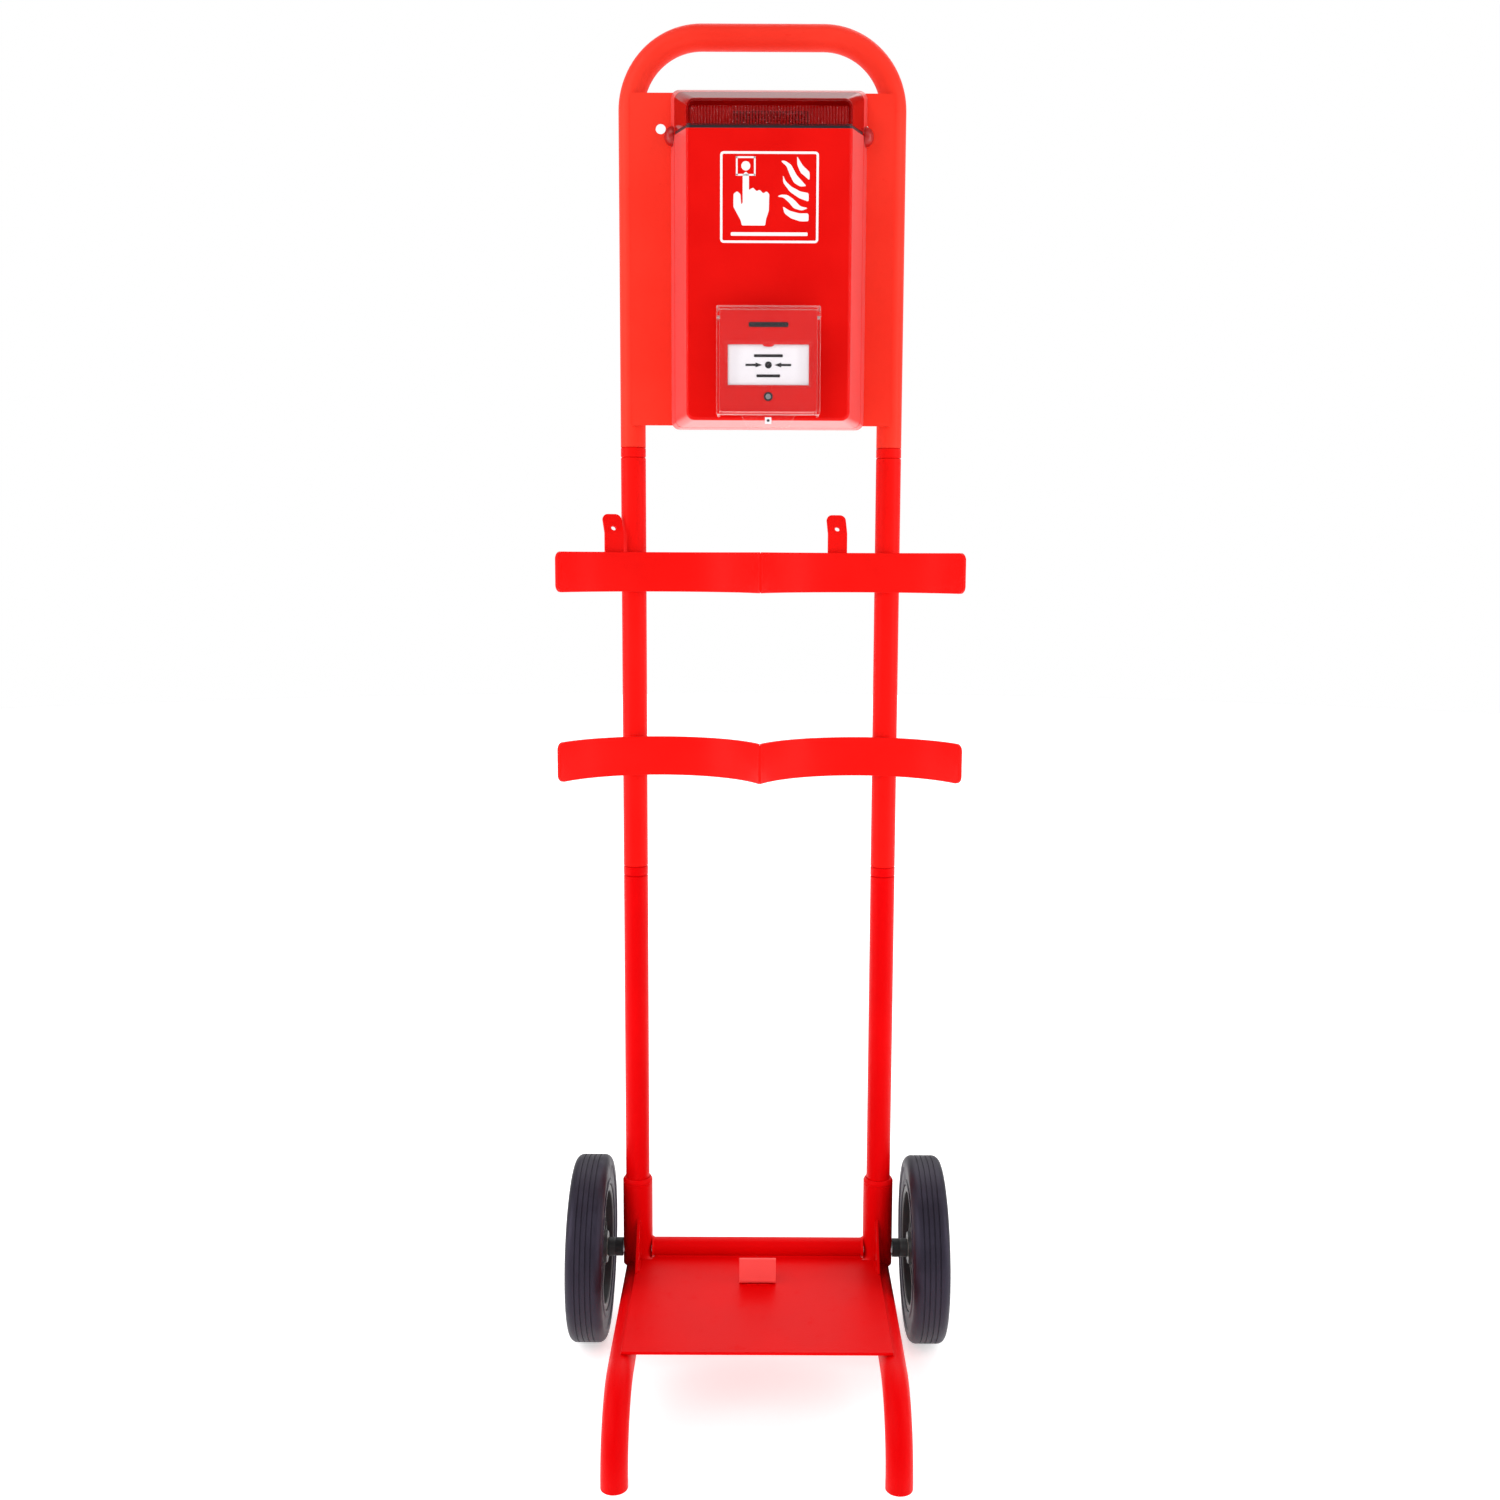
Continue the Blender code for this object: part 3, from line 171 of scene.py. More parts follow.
# %% Sockets that do sums
class Wire:
    """One socket of a material, on which arithmetic adds Math nodes."""

    def __init__(self, tree, socket=None):
        self.tree = tree
        self.socket = socket

    def node(self, kind, settings=None, sockets=None, output=0):
        """A node of this kind: its settings first, then its sockets' values or links."""
        made = self.tree.nodes.new("ShaderNode" + kind)
        for name, value in (settings or {}).items():
            if name == "stops":
                for stop, (position, colour) in zip(made.color_ramp.elements, value):
                    stop.position = position
                    stop.color = colour
            else:
                setattr(made, name, value)
        for name, value in (sockets or {}).items():
            if isinstance(value, Wire):
                self.tree.links.new(value.socket, made.inputs[name])
            else:
                made.inputs[name].default_value = value
        return Wire(self.tree, made.outputs[output])

    def sum(self, operation, first, second, **settings):
        return self.node("Math", {"operation": operation, **settings}, {0: first, 1: second})

    def __add__(self, other):
        return self.sum("ADD", self, other)

    def __radd__(self, other):
        return self.sum("ADD", other, self)

    def __sub__(self, other):
        return self.sum("SUBTRACT", self, other)

    def __rsub__(self, other):
        return self.sum("SUBTRACT", other, self)

    def __mul__(self, other):
        return self.sum("MULTIPLY", self, other)

    def __rmul__(self, other):
        return self.sum("MULTIPLY", other, self)

    def ramp(self, low, high, start=0.0, end=1.0):
        """Runs smoothly from start to end as this value goes from low to high."""
        limits = {"From Min": low, "From Max": high, "To Min": start, "To Max": end}
        return self.node("MapRange", {"interpolation_type": "SMOOTHSTEP"}, {"Value": self, **limits})

    def tint(self, low, high):
        """A colour that goes from low to high as this value goes from 0 to 1."""
        colours = {0: self, 6: (*low, 1.0), 7: (*high, 1.0)}
        return self.node("Mix", {"data_type": "RGBA"}, colours, output=2)


def place_on(wire, scale=(1.0, 1.0, 1.0)):
    """The point on the object, in metres, stretched by scale."""
    point = wire.node("TexCoord", output=3)
    return wire.node("VectorMath", {"operation": "MULTIPLY"}, {0: point, 1: scale})


def noise(wire, size, detail=2.0, stretch=(1.0, 1.0, 1.0)):
    """A cloudy value from 0 to 1 whose blots are about size metres across."""
    sockets = {"Vector": place_on(wire, stretch), "Scale": 1.0 / size, "Detail": detail}
    return wire.node("TexNoise", None, sockets)


def bump(wire, height, depth, distance=0.001, under=None):
    """A normal that stands up where height is high, on top of another normal."""
    sockets = {"Height": height, "Strength": depth, "Distance": distance}
    if under is not None:
        sockets["Normal"] = under
    return wire.node("Bump", None, sockets)


print("nodes wrapped:", Wire.__name__)

# %% A material from its surface
MATERIALS = {}


def new_finish(name, fixed, surface):
    """A Principled material. fixed are its constants, and surface(wire) gives what varies."""
    material = bpy.data.materials.new(name)
    material.use_nodes = True
    tree = material.node_tree
    shader = tree.nodes["Principled BSDF"]
    for socket, value in fixed.items():
        shader.inputs[socket].default_value = value
    for socket, value in surface(Wire(tree)).items():
        tree.links.new(value.socket, shader.inputs[socket])
    MATERIALS[name] = material
    print("finish:", name)


# %% [markdown]
# ## Powder coat
#
# Powder is sprayed on dry and baked, so it flows into a skin with a faint orange peel a
# millimetre or two across. The upper part of this stand is coloured an orange red, the cradles and
# mid tubes a step deeper and the lower part a deeper red still: painted light, for the light that
# falls from above. Handling leaves hair-thin rubs that catch the light. The peel is a bump of two
# noises, the tone drifts by a few percent, and the rubs are long stretched noise that only changes
# roughness, which is how a rub looks on a coating of one colour all through.

# %% Powder coats
PEEL = 0.0016


def powder(light, deep):
    def surface(wire):
        drift = noise(wire, 0.11, 3.0)
        fine = noise(wire, PEEL)
        grain = noise(wire, PEEL / 4, 1.0)
        rubs = noise(wire, 0.012, 6.0, (1.0, 1.0, 0.14)).ramp(0.60, 0.72)
        specks = noise(wire, 0.0042, 1.0).ramp(0.73, 0.78)
        tone = drift.ramp(0.3, 0.7) * 0.8 + fine * 0.2 - specks * 0.5
        rough = 0.40 + drift * 0.08 + rubs * 0.10 - fine * 0.05
        peel = bump(wire, fine + grain * 0.25, 0.16)
        return {"Base Color": tone.tint(deep, light), "Roughness": rough, "Normal": peel}

    return surface


# The upper coat and the cradle coat are the stand's red painted lighter and more orange: painted light from above.
COATS = (
    ("upper coat", "upper_coat", (1.0, 0.50, 0.42), (0.860, 0.040, 0.022), (0.810, 0.030, 0.016)),
    ("cradle coat", "upper_coat", (1.0, 0.22, 0.20), (0.790, 0.0075, 0.0055), (0.740, 0.0045, 0.0035)),
    ("lower coat", "lower_coat", (1.0, 0.15, 0.15), (0.690, 0.0010, 0.0018), (0.630, 0.0005, 0.0012)),
    # The stop bracket's coat is the lower red painted paler: painted light on its lit face.
    ("chalky coat", "lower_coat", (1.0, 0.50, 0.50), (0.930, 0.1000, 0.0940), (0.880, 0.0820, 0.0780)),
)
for name, slot, glint, light, deep in COATS:
    gloss = {"Specular IOR Level": 0.14, "Specular Tint": (*glint, 1.0)}
    new_finish(name, gloss, powder(light, deep))

# %% [markdown]
# ## Moulded plastics
#
# The alarm unit is glossy moulded ABS: almost mirror smooth, with slow ripples where the
# plastic cooled unevenly, and fine wiping marks. The call point is the same resin with a slightly
# duller skin, and a sheen on the shader gives the housing its pale edges. The lens is tinted
# through and the guard is clear. Both let light pass by their alpha, which grows where they are
# seen edge on.

# %% Alarm plastics
GLOSS = {"Coat Weight": 0.06, "Coat Roughness": 0.05}
SHEEN = {"Sheen Weight": 0.40, "Sheen Roughness": 0.30, "Sheen Tint": (1.0, 0.90, 0.88, 1.0)}


def moulded(light, deep, rough, ripple):
    def surface(wire):
        drift = noise(wire, 0.07, 2.0)
        wiped = noise(wire, 0.004, 5.0, (0.25, 1.0, 1.0))
        slow = noise(wire, 0.018, 1.0)
        normal = bump(wire, slow, ripple)
        resin = drift.ramp(0.3, 0.7).tint(deep, light)
        return {
            "Base Color": resin,
            "Roughness": rough + wiped.ramp(0.40, 0.85) * 0.03,
            "Normal": normal,
        }

    return surface


def see_through(low, high, tint, deep, rough, onset=(0.14, 0.56)):
    """Clear where it is faced, cloudier where it is seen edge on, as thick clear plastic is."""

    def surface(wire):
        edge_on = wire.node("LayerWeight", None, {"Blend": 0.35}, output=1)
        haze = noise(wire, 0.02, 4.0)
        return {
            "Base Color": haze.tint(deep, tint),
            "Alpha": edge_on.ramp(*onset, low, high),
            "Roughness": rough + haze * 0.05,
        }

    return surface


MOULDED = (
    ("alarm red", 0.05, (0.680, 0.0050, 0.0035), (0.625, 0.0035, 0.0025), 0.22, 0.035),
    ("call point red", 0.22, (0.600, 0.0070, 0.0060), (0.550, 0.0050, 0.0045), 0.36, 0.06),
    # alarm dark is the housing red darkened: on the thumb screws it is painted shade.
    ("alarm dark", 0.30, (0.400, 0.0060, 0.0060), (0.330, 0.0040, 0.0040), 0.30, 0.04),
)
for name, level, *look in MOULDED:
    extra = {**SHEEN, **GLOSS} if name == "alarm red" else {}
    new_finish(name, {"Specular IOR Level": level, **extra}, moulded(*look))

# Each row: name, slot, specular level, then what see_through takes.
CLEAR = (
    ("lens rib red", "lens_red", 0.5, 0.45, 0.95, (0.430, 0.0030, 0.0030), (0.340, 0.0015, 0.0015), 0.12),
    ("lens red", "lens_red", 0.05, 0.12, 0.97, (0.340, 0.0010, 0.0010), (0.280, 0.0006, 0.0006), 0.10),
    ("clear guard", "clear_plastic", 0.5, 0.008, 0.50, (0.93, 0.80, 0.79), (0.88, 0.72, 0.71), 0.05, (0.50, 0.85)),
    # clear edge is a paler skin laid on the guard's edges: a painted highlight.
    ("clear edge", "clear_plastic", 0.5, 0.42, 0.75, (0.85, 0.58, 0.55), (0.78, 0.48, 0.45), 0.10),
)
for name, slot, level, *look in CLEAR:
    new_finish(name, {"Specular IOR Level": level}, see_through(*look))

# %% Small plastics, print and board


def flecked(light, deep, rough, grain, depth):
    """A plain moulded or printed surface with a fine grain."""

    def surface(wire):
        drift = noise(wire, 0.03, 3.0)
        fine = noise(wire, grain, 2.0)
        return {
            "Base Color": (drift * 0.6 + fine * 0.4).tint(deep, light),
            "Roughness": rough + fine * 0.12,
            "Normal": bump(wire, fine, depth),
        }

    return surface


SMALL_FINISHES = (
    ("white plastic", "white_plastic", (0.80, 0.77, 0.80), (0.72, 0.69, 0.73), 0.34, 0.0007, 0.05),
    ("white print", "white_plastic", (0.84, 0.80, 0.81), (0.76, 0.72, 0.73), 0.36, 0.0005, 0.04),
    ("black print", "black_plastic", (0.010, 0.010, 0.014), (0.006, 0.006, 0.009), 0.38, 0.0005, 0.04),
    ("black plastic", "black_plastic", (0.030, 0.030, 0.032), (0.018, 0.018, 0.020), 0.42, 0.0009, 0.12),
    ("hub black", "hub_black", (0.026, 0.026, 0.029), (0.015, 0.015, 0.018), 0.38, 0.0011, 0.14),
    ("nylon", "nylon", (0.76, 0.74, 0.68), (0.66, 0.64, 0.58), 0.44, 0.0010, 0.06),
    ("board green", "board_green", (0.030, 0.170, 0.060), (0.015, 0.110, 0.040), 0.40, 0.0030, 0.10),
)
for name, slot, light, deep, rough, grain, depth in SMALL_FINISHES:
    new_finish(name, {"Specular IOR Level": 0.4}, flecked(light, deep, rough, grain, depth))

# %% [markdown]
# ## Rubber and steel
#
# The tyres are solid rubber. Carbon black makes them nearly black with a cold sheen, the skin is
# finely pitted, and dust lies on it in faint grey clouds. The zinc plated
# fittings are brushed: noise drawn out along one axis shades both their roughness and normal.

# %% Rubber and steel


def rubber(wire):
    pits = noise(wire, 0.0012, 3.0)
    dust = noise(wire, 0.03, 5.0).ramp(0.48, 0.72)
    colour = (dust * 0.75 + pits * 0.25).tint((0.0050, 0.0046, 0.0075), (0.0150, 0.0135, 0.0210))
    return {
        "Base Color": colour,
        "Roughness": 0.44 + dust * 0.16 + pits * 0.08,
        "Normal": bump(wire, pits, 0.22),
    }


def plated(wire):
    brushed = noise(wire, 0.0006, 3.0, (0.08, 1.0, 1.0))
    stains = noise(wire, 0.008, 4.0)
    return {
        "Base Color": stains.tint((0.42, 0.42, 0.44), (0.62, 0.62, 0.64)),
        "Roughness": 0.24 + brushed * 0.2,
        "Normal": bump(wire, brushed, 0.10),
    }


RUBBER_GLOSS = {"Specular IOR Level": 0.42, "Specular Tint": (0.80, 0.68, 1.0, 1.0)}
new_finish("rubber", RUBBER_GLOSS, rubber)
new_finish("steel", {"Metallic": 1.0}, plated)

# %% [markdown]
# ## The floor
#
# A seamless sheet of pale paper, lit a little from below as a product table is, so that the
# stand's shadow stays faint. It is much wider than the view, so its far edge meets the room.

# %% Floor


def paper(wire):
    fibre = noise(wire, 0.004, 4.0)
    colour = fibre.tint((0.90, 0.90, 0.90), (0.93, 0.93, 0.93))
    return {"Base Color": colour, "Roughness": 0.7 + fibre * 0.2}


PAPER_GLOW = {"Emission Color": (1.0, 1.0, 1.0, 1.0), "Emission Strength": 0.52}
new_finish("paper", {"Specular IOR Level": 0.1, **PAPER_GLOW}, paper)
bpy.ops.mesh.primitive_circle_add(vertices=96, radius=FLOOR_RADIUS, fill_type="NGON")
floor = bpy.context.object
floor.name = "floor"
floor.data.materials.append(MATERIALS["paper"])
print("floor radius", FLOOR_RADIUS)

# %% [markdown]
# ## Modelling by hand, in code
#
# Every piece starts as a primitive and is shaped in edit mode, as it would be with a mouse:
# extrude, spin, bevel, bisect. These few helpers keep the selection honest. An operator acts on
# whatever is selected, so each one starts from nothing and selects by place or direction.

# %% Helpers for edit mode
QUARTER = math.pi / 2
MERGE = 0.00001


def leave_edit():
    if bpy.context.object is not None and bpy.context.object.mode == "EDIT":
        bpy.ops.object.mode_set(mode="OBJECT")


def take_all():
    bpy.ops.mesh.select_all(action="SELECT")


def only(piece):
    """Selects one object alone and makes it active."""
    leave_edit()
    bpy.ops.object.select_all(action="DESELECT")
    piece.select_set(True)
    bpy.context.view_layer.objects.active = piece


def begin(kind, scale=(1.0, 1.0, 1.0), **sizes):
    """Adds a primitive, settles its size and place in its mesh, and opens it in edit mode."""
    leave_edit()
    bpy.ops.object.select_all(action="DESELECT")
    getattr(bpy.ops.mesh, f"primitive_{kind}_add")(**sizes)
    bpy.context.object.scale = scale
    bpy.ops.object.transform_apply(location=True, rotation=True, scale=True)
    bpy.ops.object.mode_set(mode="EDIT")
    bpy.ops.mesh.select_mode(type="VERT")
    take_all()


def unit(kind, size, place, turned_by=(0, 0, 0)):
    """Begins a cube or plane of this size."""
    begin(kind, scale=size, size=1, location=place, rotation=turned_by)


def push(x, y, z):
    """Extrudes the selection by a vector."""
    bpy.ops.mesh.extrude_region_move(TRANSFORM_OT_translate={"value": (x, y, z)})


def sweep(centre, axis, angle, steps=16):
    """Extrudes the selection round an axis, by the right-hand rule."""
    bpy.ops.mesh.spin(steps=steps, angle=-angle, center=centre, axis=axis)


def roll(width, segments):
    """Rounds the selected edges."""
    bpy.ops.mesh.bevel(offset=width, segments=segments, affect="EDGES")


def repeat(count, step):
    """Copies the selection count times, each one step further on."""
    for _ in range(count):
        bpy.ops.mesh.duplicate_move(TRANSFORM_OT_translate={"value": step})


def choose(kind, test):
    """Selects the vertices, edges or faces whose middle and direction pass a test."""
    bpy.ops.mesh.select_mode(type=kind)
    bpy.ops.mesh.select_all(action="DESELECT")
    shape = bmesh.from_edit_mesh(bpy.context.object.data)
    parts = {"VERT": shape.verts, "EDGE": shape.edges, "FACE": shape.faces}[kind]
    for part in parts:
        corners = [part] if kind == "VERT" else part.verts
        middle = sum((corner.co for corner in corners), Vector()) / len(corners)
        if kind == "EDGE":
            facing = (part.verts[1].co - part.verts[0].co).normalized()
        else:
            facing = part.normal
        if test(middle, facing):
            part.select_set(True)
    bmesh.update_edit_mesh(bpy.context.object.data)


def settle():
    """Merges doubles and turns every face outwards."""
    bpy.ops.mesh.select_mode(type="VERT")
    take_all()
    bpy.ops.mesh.remove_doubles(threshold=MERGE)
    bpy.ops.mesh.normals_make_consistent(inside=False)


print("a quarter turn is", round(math.degrees(QUARTER)), "degrees")

# %% Helpers for modifiers, naming and copying


def modify(kind, **settings):
    """Adds a modifier and applies it."""
    leave_edit()
    modifier = bpy.context.object.modifiers.new(kind.title(), kind)
    for name, value in settings.items():
        setattr(modifier, name, value)
    bpy.ops.object.modifier_apply(modifier=modifier.name)


def soften(width, segments=3, angle=40):
    """Rolls every edge sharper than the angle, then smooths the shading."""
    limit = math.radians(angle)
    modify("BEVEL", width=width, segments=segments, limit_method="ANGLE", angle_limit=limit)
    shade()


def shade():
    """Smooths the shading over all but the sharp edges."""
    leave_edit()
    bpy.ops.object.shade_smooth_by_angle(angle=math.radians(42))
    modify("WEIGHTED_NORMAL", keep_sharp=True, weight=60)


def cut(*cutters):
    """Takes closed cutters away from the active piece, and removes them."""
    leave_edit()
    for cutter in cutters:
        modify("BOOLEAN", operation="DIFFERENCE", object=cutter, solver="EXACT")
        bpy.data.objects.remove(cutter)


def keep(name, body, finish, *nodes, place=(0, 0, 0), turned_by=(0, 0, 0)):
    """Puts the finished piece in place and gives it its name, body, finish and nodes."""
    leave_edit()
    piece = bpy.context.object
    piece.location = place
    piece.rotation_euler = turned_by
    bpy.ops.object.transform_apply(location=True, rotation=True, scale=True)
    piece.name = piece.data.name = name
    piece.data.materials.clear()
    piece.data.materials.append(MATERIALS[finish])
    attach(piece, body)
    if nodes:
        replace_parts(piece, *nodes)
    print(f"{name}: {len(piece.data.polygons)} faces")
    return piece


def copied(piece, name, body, *nodes, shift=(0, 0, 0), half_turn=None, about=(0, 0, 0)):
    """A copy with its own mesh, turned half round an axis through a point if asked, then shifted."""
    only(piece)
    bpy.ops.object.duplicate()
    copy = bpy.context.object
    copy.parent = None
    matrix = Matrix.Translation(shift)
    if half_turn:
        there = Matrix.Translation(about)
        matrix = matrix @ there @ Matrix.Rotation(math.pi, 4, half_turn) @ there.inverted()
    copy.data.transform(matrix)
    if "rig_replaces" in copy:
        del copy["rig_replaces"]
    copy.name = copy.data.name = name
    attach(copy, body)
    if nodes:
        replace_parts(copy, *nodes)
    print(f"{name}: a copy of {piece.name}")
    return copy


def join(pieces):
    """Makes one object of these, under the first one's name."""
    only(pieces[0])
    for piece in pieces[1:]:
        piece.select_set(True)
    bpy.ops.object.join()


def middle_of(node):
    low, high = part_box(node)
    return (low + high) / 2


print("edges sharper than 40 degrees are rolled")

# %% [markdown]
# ### Turned and drawn shapes
#
# A lathe piece is a half section spun round an axis. A cut-out sheet is an outline filled and
# extruded. Both start as a single point, extruded from corner to corner like pen strokes.

# %% Turning and drawing
ROUND = 48


def stroke(points):
    """Draws a chain of edges through (x, z) points, starting from a plane merged to one point."""
    begin("plane", size=1)
    bpy.ops.mesh.merge(type="CENTER")
    bpy.ops.transform.translate(value=(points[0][0], 0, points[0][1]))
    for here, there in zip(points, points[1:]):
        step = (there[0] - here[0], 0, there[1] - here[1])
        bpy.ops.mesh.extrude_vertices_move(TRANSFORM_OT_translate={"value": step})


def lathe(profile, sides=ROUND):
    """Spins a half section of (radius, height) points round Z into a closed skin."""
    stroke(profile)
    take_all()
    sweep((0, 0, 0), (0, 0, 1), math.tau, sides)
    settle()


def turned(profile, name, body, finish, *nodes, sides=ROUND, **where):
    """A finished piece from a half section."""
    lathe(profile, sides)
    shade()
    return keep(name, body, finish, *nodes, **where)


def cut_sheet(outline, thickness, rounding=0.0, steps=4):
    """Fills an outline of (x, z) points, rounds its corners and extrudes it towards +Y."""
    stroke(outline)
    take_all()
    bpy.ops.mesh.edge_face_add()
    if rounding:
        bpy.ops.mesh.bevel(offset=rounding, segments=steps, affect="VERTICES", clamp_overlap=True)
    take_all()
    push(0, thickness, 0)
    settle()


def ring(outer, inner, height, edge):
    """A sleeve's half section, with a small chamfer on its outer rims."""
    return [
        (inner, 0),
        (outer - edge, 0),
        (outer, edge),
        (outer, height - edge),
        (outer - edge, height),
        (inner, height),
        (inner, 0),
    ]


def dome(radius, height, base=0.0, steps=8):
    """A dome's half section, from its rim up to its pole."""
    angles = [QUARTER * step / steps for step in range(steps + 1)]
    return [(radius * math.cos(a), base + height * math.sin(a)) for a in angles]


def cylinder_cutter(radius, depth, place, turned_by):
    """A round cutter, made beside the active piece, which stays active."""
    piece = bpy.context.object
    begin("cylinder", vertices=ROUND, radius=radius, depth=depth, location=place, rotation=turned_by)
    leave_edit()
    cutter = bpy.context.object
    only(piece)
    return cutter


print("round pieces have", ROUND, "sides")

# %% [markdown]
# ## The frame's tubes
#
# The frame is one inch steel tube. Its top is a bow bent in two quarter circles, which is also
# the handle. A circle is pushed up a leg, swept round each bend and pushed on, and the
# skin then gets a wall. The bow's legs stop on collars, so its ends stay open.

# %% The bow
TUBE_R = 0.0127
TUBE_WALL = 0.0015
BOW_BEND = 0.070


def tube_start(place, turned_by=(0, 0, 0)):
    begin("circle", vertices=ROUND, radius=TUBE_R, location=place, rotation=turned_by)


def give_wall(wall):
    """Caps the ends to find which way is out, opens them again and thickens the skin inwards."""
    take_all()
    bpy.ops.mesh.fill_holes(sides=0)
    settle()
    bpy.ops.mesh.select_mode(type="FACE")
    bpy.ops.mesh.select_face_by_sides(number=4, type="GREATER", extend=False)
    bpy.ops.mesh.delete(type="ONLY_FACE")
    modify("SOLIDIFY", thickness=wall, offset=-1.0)
    shade()


post = middle_of("mid_tube_left")
bow_low, bow_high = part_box("handle_bow")
leg_top = bow_high.z - TUBE_R - BOW_BEND
tube_start((post.x, post.y, bow_low.z))
push(0, 0, leg_top - bow_low.z)
sweep((post.x + BOW_BEND, post.y, leg_top), (0, 1, 0), QUARTER, 24)
push(2 * (-post.x - BOW_BEND), 0, 0)
sweep((-post.x - BOW_BEND, post.y, leg_top), (0, 1, 0), QUARTER, 24)
push(0, 0, bow_low.z - leg_top)
give_wall(TUBE_WALL)
keep("bow", "frame", "upper coat", "handle_bow")

# %% Straight tubes and the collars between them
TUBE_EDGE = 0.0007
COLLAR_BORE = 0.0085
GAP = 0.0003


def straight_tube(node, finish):
    low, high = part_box(node)
    profile = ring(TUBE_R, TUBE_R - TUBE_WALL, high.z - low.z, TUBE_EDGE)
    return turned(profile, node + "_smooth", "frame", finish, node, place=(post.x, post.y, low.z))


def collar(node, upper_end, finish):
    """A ring between two tubes, with a stem that plugs into each."""
    low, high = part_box(node)
    stem = TUBE_R - TUBE_WALL - GAP
    insert = (high.z - low.z - upper_end) / 2
    top = insert + upper_end
    band = [(radius, height + insert) for radius, height in ring(TUBE_R, stem, upper_end, TUBE_EDGE)]
    upper = [(stem, top + insert), (COLLAR_BORE, top + insert), (COLLAR_BORE, 0)]
    profile = [(COLLAR_BORE, 0), (stem, 0), *band[:-1], *upper]
    return turned(profile, node + "_smooth", "frame", finish, node, place=(post.x, post.y, low.z))


COLLAR_HEIGHT = 0.0097
across = (-2 * post.x, 0, 0)
uprights = (
    straight_tube("mid_tube_left", "cradle coat"),
    straight_tube("lower_tube_left", "lower coat"),
    collar("upper_spigot_left", COLLAR_HEIGHT, "cradle coat"),
    collar("lower_spigot_left", COLLAR_HEIGHT, "lower coat"),
)
for piece in uprights:
    name = piece.name.replace("left", "right")
    copied(piece, name, "frame", name.removesuffix("_smooth"), shift=across)

# %% [markdown]
# ## The base
#
# Each upright plugs into a wider socket that is coped over a side rail and welded to it. The
# rail runs forward and bends down into a foot with a plastic plug. A tray of sheet lies on the
# rails, braced by two small gussets, with an angle bracket in the middle as a stop.

# %% Sockets
SOCKET_R = 0.0159
SOCKET_BORE = 0.0130
socket_low, socket_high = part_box("socket_left")
tall = socket_high.z - socket_low.z
rail_low, rail_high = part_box("base_rail_left")
rail_z = rail_high.z - TUBE_R
axle_z = middle_of("axle").z
lathe(
    [
        (SOCKET_BORE, 0),
        (SOCKET_R, 0),
        (SOCKET_R, tall - 0.0062),
        (SOCKET_R - 0.0004, tall - 0.0058),
        (SOCKET_R - 0.0004, tall - 0.0052),
        (SOCKET_R, tall - 0.0048),
        (SOCKET_R, tall - 0.0028),
        (SOCKET_R - 0.0018, tall),
        (SOCKET_BORE, tall),
        (SOCKET_BORE, 0),
    ]
)
leave_edit()
bpy.context.object.location = (post.x, post.y, socket_low.z)
bpy.ops.object.transform_apply(location=True)
cut(
    cylinder_cutter(TUBE_R + GAP, 0.08, (post.x, post.y, rail_z), (QUARTER, 0, 0)),
    cylinder_cutter(0.0063, 0.08, (post.x, post.y, axle_z), (0, QUARTER, 0)),
)
shade()
socket = keep("socket_left_smooth", "frame", "lower coat", "socket_left")
copied(socket, "socket_right_smooth", "frame", "socket_right", shift=across)

# %% Rails and foot plugs
FOOT_BEND = 0.067
RAIL_WALL = 0.002
PLUG_DOME = 0.0006
foot_y = rail_low.y + TUBE_R
tube_start((post.x, rail_high.y, rail_z), (QUARTER, 0, 0))
push(0, foot_y + FOOT_BEND - rail_high.y, 0)
sweep((post.x, foot_y + FOOT_BEND, rail_z - FOOT_BEND), (1, 0, 0), QUARTER, 24)
push(0, 0, FOOT_BEND - rail_z)
give_wall(RAIL_WALL)
base_rail = keep("rail_left", "frame", "lower coat", "base_rail_left")
copied(base_rail, "rail_right", "frame", "base_rail_right", shift=across)

plug_low, plug_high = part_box("foot_plug_left")
plug_r = (plug_high.x - plug_low.x) / 2
plug_tall = plug_high.z - plug_low.z
plug_face = [(0, PLUG_DOME), (plug_r * 0.5, PLUG_DOME), (plug_r * 0.8, 0), (plug_r, PLUG_DOME)]
plug_section = [*plug_face, (plug_r, plug_tall), (0, plug_tall)]
foot = (post.x, foot_y, 0)
plug = turned(plug_section, "plug_left", "frame", "black plastic", "foot_plug_left", place=foot)
copied(plug, "plug_right", "frame", "foot_plug_right", shift=across)

# %% The cross tube
cross_low, cross_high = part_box("cross_tube")
cross_r = (cross_high.z - cross_low.z) / 2
turned(
    ring(cross_r, cross_r - 0.003, cross_high.x - cross_low.x, 0.0003),
    "cross_tube_smooth",
    "frame",
    "lower coat",
    "cross_tube",
    place=(cross_low.x, post.y, axle_z),
    turned_by=(0, QUARTER, 0),
)

# %% The tray
tray_low, tray_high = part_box("base_plate")
notch_x = -post.x - SOCKET_R - GAP
notch_y = post.y - SOCKET_R - GAP
tray_size = (tray_high.x - tray_low.x, tray_high.y - tray_low.y, 1)
tray_middle = (0, (tray_high.y + tray_low.y) / 2, tray_low.z)
unit("plane", tray_size, tray_middle)
for place in ((notch_x, 0, 0), (-notch_x, 0, 0), (0, notch_y, 0)):
    take_all()
    bpy.ops.mesh.bisect(plane_co=place, plane_no=(1, 0, 0) if place[0] else (0, 1, 0))
choose("FACE", lambda middle, facing: abs(middle.x) > notch_x and middle.y > notch_y)
bpy.ops.mesh.delete(type="FACE")
take_all()
push(0, 0, tray_high.z - tray_low.z)
settle()
soften(0.0006)
keep("tray", "frame", "lower coat", "base_plate")

